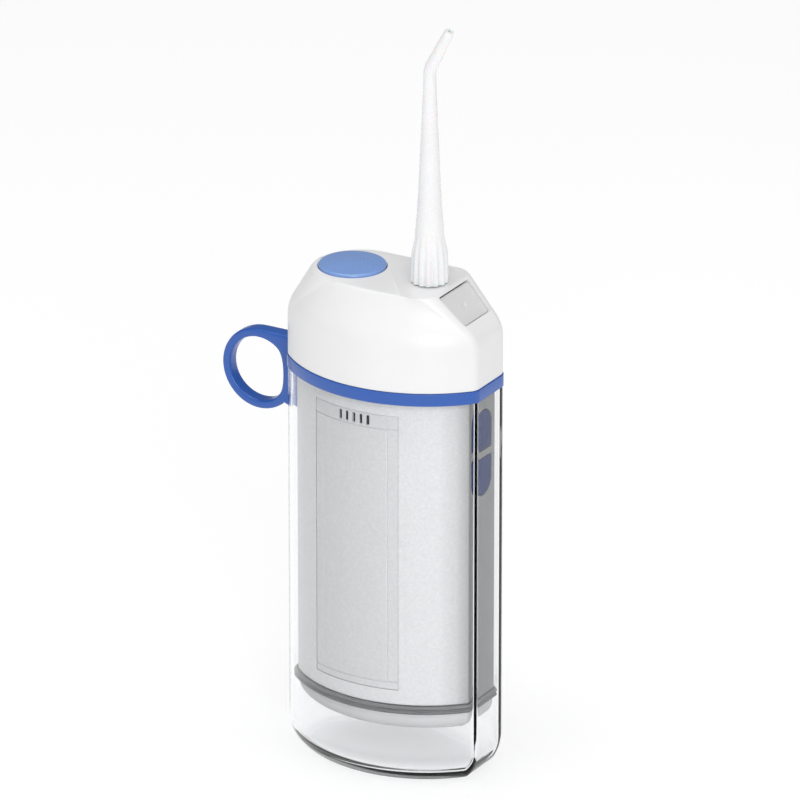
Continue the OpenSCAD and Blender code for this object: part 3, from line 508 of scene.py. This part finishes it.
def dress(piece, finish, body, nodes, angle=32):
    # Smooth shading with crisp edges past an angle, a finish, and the piece's place in the frame
    piece.data.shade_smooth()
    piece.data.set_sharp_from_angle(angle=radians(angle))
    piece.data.materials.clear()
    piece.data.materials.append(finishes[finish])
    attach(piece, body)
    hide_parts(*nodes)
    print("made", piece.name, len(piece.data.polygons), "faces")


def rounded(x0, z0, x1, z1, leaving, n=6):
    # Step of a profile from (x0, z0) to (x1, z1) as a quarter of an ellipse that leaves along x or z
    t = np.linspace(0, pi / 2, n)
    a, b = (np.sin(t), 1 - np.cos(t)) if leaving == "x" else (1 - np.cos(t), np.sin(t))
    return [(x0 + (x1 - x0) * u, z0 + (z1 - z0) * w) for u, w in zip(a, b)]


def turned(name, profile, x, sides=128):
    # Solid of revolution about the upright axis at x, from a list of (radius, height)
    return ringSolid(name, [ringAt(arc(x, 0, r, 0, 2 * pi, sides + 1)[:-1], z) for r, z in profile])


def disc(name, r, z0, z1, x):
    # Upright cylinder as a stack of two rings
    return turned(name, [(r, z0), (r, z1)], x, 96)


# Tank

tankValues = {
    "height": 109.0,
    "wall": 1.8,
    "floor": 3.0,
    "baseRoundX": 6.0,
    "baseRoundZ": 10.0,
    "floorRound": (3.6, 4.5),
    "rimEdge": 0.08,
    "portHeight": 84.0,
    "portRadius": 6.5,
    "portFrom": 23.0,        # depths between which the filling port is cut
    "portTo": 14.0,
}


def makeTank(v):
    # One closed profile: under the base, up the outside, over the rim, down the inside, across the floor
    outside = rounded(v["baseRoundX"], 0, 0, v["baseRoundZ"], "x", 18)
    e = v["rimEdge"]
    walls = [(0, z) for z in np.linspace(v["baseRoundZ"] + 4, v["height"] - e, 10)]
    rim = [(e, v["height"]), (v["wall"] - e, v["height"]), (v["wall"], v["height"] - e)]
    rx, rz = v["floorRound"]
    down = [(v["wall"], z) for z in np.linspace(v["height"] - 4, v["floor"] + rz + 4, 10)]
    inside = rounded(v["wall"] + rx, v["floor"], v["wall"], v["floor"] + rz, "x", 18)[::-1]
    tank = ringSolid("tankShell", stack(outside + walls + rim + down + inside))
    circle = arc(0, v["portHeight"], v["portRadius"], 0, 2 * pi, 97)[:-1]
    flat = np.column_stack([circle[:, 0], np.zeros(96), circle[:, 1]])
    port = ringSolid("portCutter", [(flat + (0, depth, 0)) * mm for depth in (v["portFrom"], v["portTo"])])
    combine(tank, [port], "DIFFERENCE")
    dress(tank, "clearTank", "tank", ["tank"])


makeTank(tankValues)

# Blue band

bandValues = {
    "bottom": 109.0,
    "top": 112.4,
    "proud": 0.25,
    "footEdge": 0.08,
    "topEdge": 0.18,
    "boreInset": 2.6,
}


def makeBand(v):
    # Section of a flat ring: outer face with rounded edges, top, bore and underside
    foot, e = v["footEdge"], v["topEdge"]
    profile = rounded(-v["proud"] + foot, v["bottom"] + 0.02, -v["proud"], v["bottom"] + foot, "x")
    profile += rounded(-v["proud"], v["top"] - e, -v["proud"] + e, v["top"], "z")
    profile += [(v["boreInset"] - e, v["top"]), (v["boreInset"], v["top"] - e)]
    profile += [(v["boreInset"], v["bottom"] + 0.02)]
    band = ringSolid("bandRing", stack(profile), closed=True)
    dress(band, "blueTrim", "tank", ["band_ring"])


makeBand(bandValues)

# Finger loop

loopValues = {
    "radius": 11.3,
    "wall": 2.4,
    "depth": 5.2,            # at the tongue
    "farDepth": 3.8,         # at the ring's far end
    "top": 114.2,
    "tongueReach": 11.0,     # from the ring's middle to the tank's wall
    "tongueFoot": 94.4,
    "tongueCorner": 2.15,    # the outline turns down to the foot this far before the wall
    "holeReach": 7.9,        # from the ring's middle to the hole's straight side
    "holeSquare": 7.0,       # higher makes the hole's corners tighter
    "edge": 0.42,            # 0 gives square edges, 1 an oval section
}


def makeLoop(v):
    # Ring with a straight tongue: outer and inner radius as functions of the angle about the ring's middle,
    # carried round a section whose half-width and half-depth follow powers of cosine and sine
    cx, cz = -section["halfWidth"] - v["radius"], v["top"] - v["radius"]
    drop = cz - v["tongueFoot"]
    a = np.linspace(-pi, pi, 361)[:-1]
    c, s = np.cos(a), np.sin(a)
    reach = v["tongueReach"] / np.maximum(c, 1e-3)
    top = v["radius"] / np.maximum(s, 1e-3)
    foot = drop / np.maximum(-s, 1e-3)
    tongueEdge = np.arctan2(-drop, v["tongueReach"] - v["tongueCorner"])
    outer = np.full_like(a, v["radius"])
    outer = np.where((a >= 0) & (c > 0), np.minimum(reach, top), outer)
    outer = np.where((a < 0) & (a > tongueEdge), np.minimum(reach, foot), outer)
    power = v["holeSquare"]
    straight = (np.maximum(c, 0) / v["holeReach"]) ** power + (1 / (v["radius"] - v["wall"])) ** power
    inner = straight ** (-1 / power)
    t = np.linspace(0, 2 * pi, 33)[:-1]
    w = np.sign(np.cos(t)) * np.abs(np.cos(t)) ** v["edge"]
    d = np.sign(np.sin(t)) * np.abs(np.sin(t)) ** v["edge"] / 2
    depth = v["farDepth"] + (v["depth"] - v["farDepth"]) * (0.5 + 0.5 * c)
    radius = (outer + inner)[None, :] / 2 + (outer - inner)[None, :] / 2 * w[:, None]
    rings = np.stack([cx + radius * c, d[:, None] * depth[None, :], cz + radius * s], -1) * mm
    loop = ringSolid("fingerLoop", rings, closed=True)
    dress(loop, "blueTrim", "tank", ["finger_loop"], 40)


makeLoop(loopValues)

# Filling plug

plugValues = {
    "height": 84.0,
    "flange": 8.4,
    "lift": 0.15,
    "thick": 1.15,
    "edge": 0.5,
    "shank": 6.2,
    "shankEnd": 18.75,
}


def backFace(x, inset):
    # Depth of the body's back face at x, moved inwards by inset
    r = section["faceRadius"]
    return section["halfDepth"] - r + np.sqrt((r - inset) ** 2 - x ** 2)


def makePlug(v):
    # Round flange that follows the tank's back face, with a rounded edge, a shank and a shallow dish
    a = np.linspace(0, 2 * pi, 97)[:-1]
    radius = np.concatenate([[0.05, 2, 4, 5.0, 5.4], np.linspace(5.8, v["flange"] - v["edge"], 4),
                             v["flange"] - v["edge"] * (1 - np.sin(np.linspace(0.2, pi / 2, 5))),
                             [v["flange"], v["shank"], v["shank"], 0.05]])
    topStep = v["lift"] + v["thick"]
    out = np.concatenate([[topStep - 0.35] * 3, [topStep - 0.3, topStep], [topStep] * 4,
                          topStep - v["edge"] * (1 - np.cos(np.linspace(0.2, pi / 2, 5))),
                          [v["lift"], v["lift"]]])
    rows = []
    for r, o in zip(radius[:-2], out):
        x, z = r * np.cos(a), r * np.sin(a)
        rows.append(np.stack([x, backFace(x, 0) + o, v["height"] + z], -1))
    for r in radius[-2:]:
        x, z = r * np.cos(a), r * np.sin(a)
        rows.append(np.stack([x, np.full_like(a, v["shankEnd"]), v["height"] + z], -1))
    plug = ringSolid("fillPlug", np.array(rows)[::-1] * mm)
    dress(plug, "milkSilicone", "fill_plug", ["fill_plug"])


makePlug(plugValues)

# Drive unit's casing

unitValues = {
    "inset": 3.0,
    "wall": 1.4,
    "bottom": 22.4,
    "top": 121.5,
    "coverLeft": -14.7,
    "coverRight": 10.5,
    "coverBottom": 26.7,
    "coverTop": 104.7,
    "coverThick": 1.2,
    "coverGap": 0.08,
}
sideButtonValues = {
    "width": 8.2,
    "bottom": 80.3,
    "lengths": (10.3, 11.1),
    "gap": 2.4,
    "proud": 0.1,
    "edge": 0.35,
    "corner": 0.6,
}


def box(name, low, high):
    # Plain block between two corners, as a stack of two rings
    corners = np.array([[low[0], low[1]], [high[0], low[1]], [high[0], high[1]], [low[0], high[1]]])
    return ringSolid(name, [ringAt(corners, low[2]), ringAt(corners, high[2])])


def pillOutline(index, v, grow=0.0, n=24):
    # Half of a pill in the YZ plane: round foot on the lower button, round head on the upper one
    r = v["width"] / 2 + grow
    z0 = v["bottom"] + index * (v["lengths"][0] + v["gap"])
    z1 = z0 + v["lengths"][index]
    corner = v["corner"]
    if index == 0:
        round1 = arc(0, z0 + v["width"] / 2, r, pi, 2 * pi, n * 2)
        flat = np.concatenate([arc(r - corner, z1 + grow - corner, corner, 0, pi / 2, n),
                               arc(corner - r, z1 + grow - corner, corner, pi / 2, pi, n)])
        return np.concatenate([round1, flat])
    round1 = arc(0, z1 - v["width"] / 2, r, 0, pi, n * 2)
    flat = np.concatenate([arc(corner - r, z0 - grow + corner, corner, pi, 1.5 * pi, n),
                           arc(r - corner, z0 - grow + corner, corner, 1.5 * pi, 2 * pi, n)])
    return np.concatenate([round1, flat])


def alongX(outline, x):
    # An outline in the YZ plane, placed at x, in metres
    return np.column_stack([np.full(len(outline), x), outline]) * mm


def makeShell(v, b):
    # Tube of the body's section, with a bed for the battery cover and two button openings cut through
    i, o = v["inset"], v["inset"] + v["wall"]
    profile = [(i + 0.3, v["bottom"]), (i, v["bottom"] + 0.3)]
    profile += [(i, z) for z in np.linspace(v["bottom"] + 3, v["top"] - 3, 12)]
    profile += [(i, v["top"] - 0.2), (i + 0.2, v["top"]), (o, v["top"]), (o, v["bottom"])]
    shell = ringSolid("driveShell", stack(profile), closed=True)
    gap = v["coverGap"]
    bed = box("bedCutter", (v["coverLeft"] - gap, -30, v["coverBottom"] - gap),
              (v["coverRight"] + gap, 0, v["coverTop"] + gap))
    core = ringSolid("bedCore", stack([(i + v["coverThick"] + 0.05, 0), (i + v["coverThick"] + 0.05, 130)]))
    combine(bed, [core], "DIFFERENCE")
    wallX = section["halfWidth"] - i
    holes = [ringSolid("buttonCutter%d" % k, [alongX(pillOutline(k, b, 0.3), wallX - 4),
                                              alongX(pillOutline(k, b, 0.3), wallX + 1)]) for k in (0, 1)]
    combine(shell, [bed] + holes, "DIFFERENCE")
    dress(shell, "silverPaint", "drive_unit", ["drive_shell"])


makeShell(unitValues, sideButtonValues)

coverValues = {
    "seamTop": 3.9,          # line below the cover's top edge
    "seamBottom": 2.0,       # line above its bottom edge
    "seamSide": 2.9,         # lines in from its two sides
    "seamWidth": 0.5,
    "seamDepth": 0.22,
    "sideShare": 0.55,       # depth of the side lines against the others
    "slots": 5,
    "slotPitch": 2.08,
    "slotStart": -5.9,
    "slotSize": (0.65, 2.6),
    "slotDepth": 0.9,
    "slotMiddle": 2.0,       # below the cover's top edge
    "edge": 0.25,
}


def trough(distance, width):
    # 1 in the middle of a line, falling smoothly to 0 at half its width
    return 0.5 + 0.5 * np.cos(pi * np.clip(np.abs(distance) / (width / 2), 0, 1))


def makeCover(v, u):
    # Curved plate on a fine grid. The outer face sinks by the lines' and slots' troughs, and
    # rolls off at its edges.
    x0, x1, z0, z1 = u["coverLeft"], u["coverRight"], u["coverBottom"], u["coverTop"]
    x = np.linspace(x0, x1, 260)
    near = np.concatenate([np.linspace(z0, z0 + 4, 40), np.linspace(z0 + 4, z1 - 6, 50)[1:],
                           np.linspace(z1 - 6, z1, 90)[1:]])
    gx, gz = np.meshgrid(x, near)
    inFrame = (gz < z1 - v["seamTop"]) & (gz > z0 + v["seamBottom"])
    sink = v["seamDepth"] * np.maximum(trough(gz - (z1 - v["seamTop"]), v["seamWidth"]),
                                       trough(gz - (z0 + v["seamBottom"]), v["seamWidth"]))
    sides = np.maximum(trough(gx - (x0 + v["seamSide"]), v["seamWidth"]),
                       trough(gx - (x1 - v["seamSide"]), v["seamWidth"])) * v["sideShare"]
    sink = np.maximum(sink, v["seamDepth"] * sides * inFrame)
    w, h = v["slotSize"]
    centres = v["slotStart"] + v["slotPitch"] * np.arange(v["slots"])
    across = np.abs(gx[..., None] - centres).min(-1)
    inSlot = np.clip((w / 2 - across) / 0.12 + 0.5, 0, 1)
    inSlot = inSlot * np.clip((h / 2 - np.abs(gz - (z1 - v["slotMiddle"]))) / 0.12 + 0.5, 0, 1)
    sink = np.maximum(sink, v["slotDepth"] * inSlot)
    border = np.minimum(np.minimum(gx - x0, x1 - gx), np.minimum(gz - z0, z1 - gz))
    sink = sink + v["edge"] * (1 - np.sqrt(1 - (1 - np.clip(border / v["edge"], 0, 1)) ** 2)) * 0.8
    outer = np.stack([gx, -backFace(gx, u["inset"] + sink), gz], -1)
    inner = np.stack([gx, -backFace(gx, u["inset"] + u["coverThick"]), gz], -1)
    rows, columns = gx.shape
    i, j = np.meshgrid(np.arange(rows - 1), np.arange(columns - 1), indexing="ij")
    k = i * columns + j
    front = np.stack([k, k + 1, k + columns + 1, k + columns], -1).reshape(-1, 4)
    rim = np.concatenate([np.arange(columns), np.arange(1, rows) * columns + columns - 1,
                          (rows - 1) * columns + np.arange(columns - 2, -1, -1),
                          np.arange(rows - 2, 0, -1) * columns])
    following = np.roll(rim, -1)
    shift = rows * columns
    side = np.stack([rim, rim + shift, following + shift, following], -1)
    faces = np.concatenate([front, front[:, ::-1] + shift, side])
    mesh = bpy.data.meshes.new("batteryCover")
    points = np.concatenate([outer.reshape(-1, 3), inner.reshape(-1, 3)]) * mm
    mesh.from_pydata(points.tolist(), [], faces.tolist())
    cover = bpy.data.objects.new("batteryCover", mesh)
    bpy.context.scene.collection.objects.link(cover)
    dress(cover, "silverCover", "drive_unit", ["battery_cover"], 50)
    # the slots' deep faces take a near-black finish: painted shade in the recesses
    cover.data.materials.append(finishes["slotShade"])
    deep = (sink[:-1, :-1] + sink[1:, 1:]).ravel() / 2 > v["slotDepth"] * 0.4
    cover.data.polygons.foreach_set("material_index", np.concatenate(
        [deep, np.zeros(len(faces) - deep.size, bool)]).astype(np.int32))


makeCover(coverValues, unitValues)

sealValues = {"middle": 21.2, "half": 1.1, "inset": 2.6, "lip": 0.5, "bore": 4.7}
footValues = {
    "bottom": 15.0,
    "top": 20.05,
    "inset": 3.3,
    "roundX": 3.0,
    "roundZ": 4.0,
    "plug": [                # inset and height of the part that fills the casing's foot
        (4.75, 20.1), (4.75, 22.4), (4.5, 22.45), (4.5, 26.9), (6.2, 26.9), (6.2, 19.95),
    ],
}


def makeSeal(v):
    # Ring with two rounded lips that rub on the tank
    z, h = v["middle"], v["half"]
    t = np.linspace(0, 4 * pi, 33)
    lips = [(v["inset"] - v["lip"] * (0.5 - 0.5 * np.cos(a)), z - h + 2 * h * a / (4 * pi)) for a in t]
    ring = ringSolid("sealRing", stack(lips + [(v["bore"], z + h), (v["bore"], z - h)]), closed=True)
    dress(ring, "darkSeal", "drive_unit", ["seal_ring"], 60)


def makeFoot(v):
    # Closed end of the unit below the seal, with a rounded bottom edge and a plug in the casing's foot
    profile = rounded(v["inset"] + v["roundX"], v["bottom"], v["inset"], v["bottom"] + v["roundZ"], "x", 14)
    foot = ringSolid("endCap", stack(profile + [(v["inset"], v["top"])] + v["plug"]))
    dress(foot, "greyEnd", "drive_unit", ["end_cap"])


makeSeal(sealValues)
makeFoot(footValues)


def makeSideButton(index, name, node, body, v, u):
    # Half-pill button: face with a rounded edge, straight sides, and a flange behind the wall
    x = section["halfWidth"] - u["inset"]
    e = v["edge"]
    steps = [(-e * (1 - np.cos(t)), x + v["proud"] - e + e * np.sin(t)) for t in np.linspace(0, pi / 2, 6)]
    rings = [alongX(pillOutline(index, v, 0.7), x - 2.5), alongX(pillOutline(index, v, 0.7), x - 1.75),
             alongX(pillOutline(index, v, 0.0), x - 1.7)]
    rings += [alongX(pillOutline(index, v, grow), place) for grow, place in steps]
    button = ringSolid(name, rings)
    dress(button, "blueDark", body, [node])


makeSideButton(0, "lowerButton", "lower_button", "lower_button", sideButtonValues, unitValues)
makeSideButton(1, "upperButton", "upper_button", "upper_button", sideButtonValues, unitValues)

# Head

headValues = {
    "bottom": 112.5,
    "shoulder": 125.9,
    "top": 137.1,
    "topButtonEnd": 17.6,
    "topLoopEnd": 23.2,
    "topDepth": 13.0,
    "topFace": 120,          # radius of the top outline's long sides
    "topButtonCorner": 4.5,
    "topLoopCorner": 12.4,
    "wall": 2.2,
    "powerX": -12.6,
    "powerRadius": 9.0,
    "nozzleX": 10.7,
    "hollowInset": 2.9,
    "hollowTopInset": 1.9,
    "hollowShoulder": 124.2,
    "hollowStep": (0.25, 127.6),     # share of the way to the top face's outline, and its height
}


def bend(p, q, r, n):
    # Quadratic curve from p to r, pulled towards q
    t = np.linspace(0, 1, n)[:, None]
    return np.array(p) * (1 - t) ** 2 + 2 * np.array(q) * t * (1 - t) + np.array(r) * t ** 2


def headRing(v, share, z, d=0.0, e=0.0):
    # Ring between the body's section (share 0) and the top face's outline (share 1), moved in by d and e
    top = lensOutline(v["topButtonEnd"] - e, v["topLoopEnd"] - e, v["topDepth"] - e,
                      v["topFace"] - e, v["topButtonCorner"] - e / 2, v["topLoopCorner"] - e)
    return ringAt(bodyOutline(d) * (1 - share) + top * share, z)


def slantFrame(v):
    # Corner, down-slope direction and outward direction of the sloping button end
    run = section["halfWidth"] - 0.1 - v["topButtonEnd"]
    tilt = np.arctan2(v["top"] - v["shoulder"], run)
    corner = np.array([v["topButtonEnd"], 0, v["top"]])
    return corner, np.array([cos(tilt), 0, -sin(tilt)]), np.array([sin(tilt), 0, cos(tilt)])


def onSlant(v, points, lift):
    # Points (down the slope, across) and their lift off it, in metres
    corner, down, out = slantFrame(v)
    across = np.array([0, 1, 0])
    lift = np.broadcast_to(np.asarray(lift, float), (len(points),))
    return (corner + points[:, :1] * down + points[:, 1:2] * across + lift[:, None] * out) * mm


releaseShape = {             # distance down the slope, and half the width there
    "upper": (0.5, 8.0),
    "lower": (10.7, 7.1),
}


def releaseOutline(grow, corner=0.9):
    # Rounded square, a little wider up the slope: each corner is an arc inside a sharp one
    (x0, y0), (x1, y1) = releaseShape["upper"], releaseShape["lower"]
    spots = [((x0, -y0), (1, 1), (pi, 1.5 * pi)), ((x1, -y1), (-1, 1), (1.5 * pi, 2 * pi)),
             ((x1, y1), (-1, -1), (0, pi / 2)), ((x0, y0), (1, -1), (pi / 2, pi))]
    inwards = corner - grow
    return np.concatenate([arc(px + inwards * sx, py + inwards * sy, corner, a0, a1, 10)
                           for (px, py), (sx, sy), (a0, a1) in spots])


def makeHead(v):
    # Upright wall, soft crease, sloping shoulder, rounded rim and top face, then hollowed and opened
    crease = bend((0, v["shoulder"] - 2.6), (0, v["shoulder"] + 0.2), (0.2, v["shoulder"] + 2.6), 14)
    slope = np.linspace((0.2, v["shoulder"] + 2.6), (0.9, v["top"] - 1.1), 8)[1:-1]
    rim = bend((0.9, v["top"] - 1.1), (1, v["top"]), (1.08, v["top"]), 12)
    rings = [ringAt(bodyOutline(0.1), v["bottom"]), ringAt(bodyOutline(0), v["bottom"] + 0.1)]
    rings += [ringAt(bodyOutline(0), z) for z in np.linspace(v["bottom"] + 2, v["shoulder"] - 4, 4)]
    rings += [headRing(v, s, z) for s, z in np.concatenate([crease, slope, rim])]
    head = ringSolid("headShell", rings)
    d, e = v["hollowInset"], v["hollowTopInset"]
    inner = bodyOutline(d)
    hollow = ringSolid("headHollow", [ringAt(inner, v["bottom"] - 1), ringAt(inner, v["hollowShoulder"]),
                                      headRing(v, *v["hollowStep"], d, e),
                                      headRing(v, 1, v["top"] - v["wall"], d, e)])
    combine(head, [hollow], "DIFFERENCE")
    boss = disc("buttonBoss", v["powerRadius"] + 1.5, v["top"] - 5, v["top"] - 1.9, v["powerX"])
    combine(head, [boss], "UNION")
    cuts = [disc("powerWell", v["powerRadius"] + 0.25, v["top"] - 4, v["top"] + 2, v["powerX"]),
            disc("stemHole", 2.3, v["top"] - 6, v["top"], v["powerX"]),
            disc("nozzleHole", 4.2, v["top"] - 6, v["top"] + 1, v["nozzleX"]),
            ringSolid("releaseOpening", [onSlant(v, releaseOutline(0), lift) for lift in (-5, 2)])]
    combine(head, cuts, "DIFFERENCE")
    dress(head, "whiteSatin", "drive_unit", ["head_shell"])


makeHead(headValues)

powerValues = {"proud": 0.8, "dome": 0.45, "edge": 0.6, "skirt": 2.5, "stem": 6.5, "stemRadius": 2,
               "wall": 1.2, "roof": 0.4}


def makePowerButton(v, h):
    # Domed disc with a rounded edge, a skirt, a hollow underside and a stem
    r = h["powerRadius"]
    k = np.linspace(0.02, 1, 16)
    dome = [(a * (r - v["edge"]), v["proud"] + v["dome"] * (1 - a * a)) for a in k]
    edge = [(r - v["edge"] * (1 - np.sin(t)), v["proud"] - v["edge"] * (1 - np.cos(t)))
            for t in np.linspace(0.15, pi / 2, 7)]
    inside = r - v["wall"]
    under = [(r, -v["skirt"]), (inside, -v["skirt"]), (inside, -v["roof"]), (v["stemRadius"], -v["roof"]),
             (v["stemRadius"], -v["stem"]), (0.05, -v["stem"])]
    profile = [(a, h["top"] + z) for a, z in dome + edge + under]
    button = turned("powerButton", profile[::-1], h["powerX"])
    dress(button, "blueGloss", "power_button", ["power_button"])


makePowerButton(powerValues, headValues)

releaseValues = {"gap": 0.25, "recess": 0.7, "edge": 0.3, "corner": 0.8, "deep": 4.0, "dimple": 1.3,
                 "dimpleDepth": 0.35, "dimpleAt": (5.6, 0.0)}


def makeReleaseButton(v, h):
    # Rings shrink to the dimple's middle; the height dips by a cosine bowl and rolls off at the edge
    middle = np.array(v["dimpleAt"])
    outline = releaseOutline(-v["gap"], v["corner"])
    rings = [onSlant(h, outline, -v["deep"]), onSlant(h, outline, -v["recess"] - v["edge"])]
    for t in np.linspace(0, pi / 2, 5)[1:]:
        rings.append(onSlant(h, releaseOutline(-v["gap"] - v["edge"] * (1 - np.cos(t)), v["corner"]),
                             -v["recess"] - v["edge"] * (1 - np.sin(t))))
    face = releaseOutline(-v["gap"] - v["edge"], v["corner"])
    circle = middle + v["dimple"] * 1.6 * (face - middle) / np.linalg.norm(face - middle, axis=1)[:, None]
    for k in (0.3, 0.6, 1.0):
        rings.append(onSlant(h, face * (1 - k) + circle * k, -v["recess"]))
    for k in np.linspace(1, 0.03, 12)[1:]:
        dip = 0.5 + 0.5 * np.cos(pi * min(k * 1.6, 1))
        rings.append(onSlant(h, middle + (circle - middle) * k, -v["recess"] - v["dimpleDepth"] * dip))
    button = ringSolid("releaseButton", rings)
    dress(button, "whiteButton", "release_button", ["release_button"])


makeReleaseButton(releaseValues, headValues)

# Nozzle

nozzleValues = {
    "x": 10.7,
    "flutes": 14,
    "fluteDepth": 0.62,
    "fluteTop": 13.5,        # above the grip's foot
    "gripFoot": 137.4,
    "bendHeight": 196.2,
    "bendAngle": 27.0,       # degrees
    "bendRadius": 6.0,
    "tipLength": 13.0,
    "tipRadius": 1.7,
    "bore": 0.45,
    "shank": [               # radius and height, from the shank's end up to the grip
        (0.4, 121), (2.2, 121), (2.6, 121.5), (2.6, 122.6), (2.15, 122.6), (2.15, 123.6), (2.6, 123.6),
        (2.6, 126.8), (2.95, 127.2), (2.95, 128.2), (2.6, 128.6), (2.6, 129.9), (2.1, 129.9), (2.1, 132.4),
        (3.4, 133.4),
    ],
    "profile": [             # radius and height above the grip's foot
        (5.1, 0.35), (4.75, 8.8), (4.45, 9.9), (3.95, 11.3), (3.5, 17.3), (3.12, 23.0), (2.82, 28.7),
        (2.6, 34.0), (2.36, 40.0), (2.08, 46.0), (1.85, 51.5), (1.7, 55.4),
    ],
}


def makeNozzle(v):
    # Shank below the head, then a tube whose radius follows a profile and whose flutes fade upwards,
    # carried straight up, round the bend and out to the tip, where it turns into the bore
    columns = v["flutes"] * 12
    a = np.linspace(0, 2 * pi, columns + 1)[:-1]
    foot = v["gripFoot"]
    shank = v["shank"] + [(3.4, foot), (4.85, foot), (5.0, foot + 0.08), (5.1, foot + 0.35)]
    keys = np.array(v["profile"])
    z = np.linspace(keys[0, 1], keys[-1, 1], 110)[1:]
    r = np.interp(z, keys[:, 1], keys[:, 0])
    pad = np.concatenate([np.full(4, r[0]), r, np.full(4, r[-1])])
    r = np.convolve(pad, np.ones(9) / 9, "valid")
    r[:6] = np.interp(z[:6], keys[:, 1], keys[:, 0])
    lead = v["bendRadius"] * np.tan(radians(v["bendAngle"]) / 2)
    start = v["bendHeight"] - lead
    body = [(r0, foot + z0) for r0, z0 in zip(r, z)] + [(v["tipRadius"], start - 0.3)]
    rings = []
    for r0, z0 in shank + body:
        fade = np.clip((foot + v["fluteTop"] - z0) / v["fluteTop"], 0, 1) if z0 >= foot else 0.0
        if z0 - foot < 0.3:
            fade = fade * 0.8
        groove = (0.5 + 0.5 * np.cos(v["flutes"] * a)) ** 1.5
        radius = r0 - (v["fluteDepth"] * fade ** 0.7 * groove if r0 > 4 or z0 > foot + 1 else 0.0)
        rings.append(np.stack([radius * np.cos(a), radius * np.sin(a), np.full_like(a, z0)], -1))
    path = [(v["bendRadius"] * (1 - np.cos(t)), start + v["bendRadius"] * np.sin(t), t, v["tipRadius"])
            for t in np.linspace(0, radians(v["bendAngle"]), 10)]
    t = radians(v["bendAngle"])
    for share in np.linspace(0.1, 1, 8):
        d = lead + (v["tipLength"] - lead) * share
        narrow = 0.35 * share + (0.12 if share == 1 else 0)
        path.append((d * np.sin(t), v["bendHeight"] + d * np.cos(t), t, v["tipRadius"] - narrow))
    d = v["tipLength"]
    for radius, back in ((0.95, 0.0), (v["bore"], 0.0), (v["bore"], 4.0), (0.05, 4.0)):
        path.append(((d - back) * np.sin(t), v["bendHeight"] + (d - back) * np.cos(t), t, radius))
    for px, pz, turn, radius in path:
        u, w = radius * np.cos(a), radius * np.sin(a)
        rings.append(np.stack([px + u * np.cos(turn), w, pz - u * np.sin(turn)], -1))
    nozzle = ringSolid("jetNozzle", (np.array(rings) + (v["x"], 0, 0)) * mm)
    dress(nozzle, "milkyNozzle", "nozzle", ["nozzle"], 40)


makeNozzle(nozzleValues)
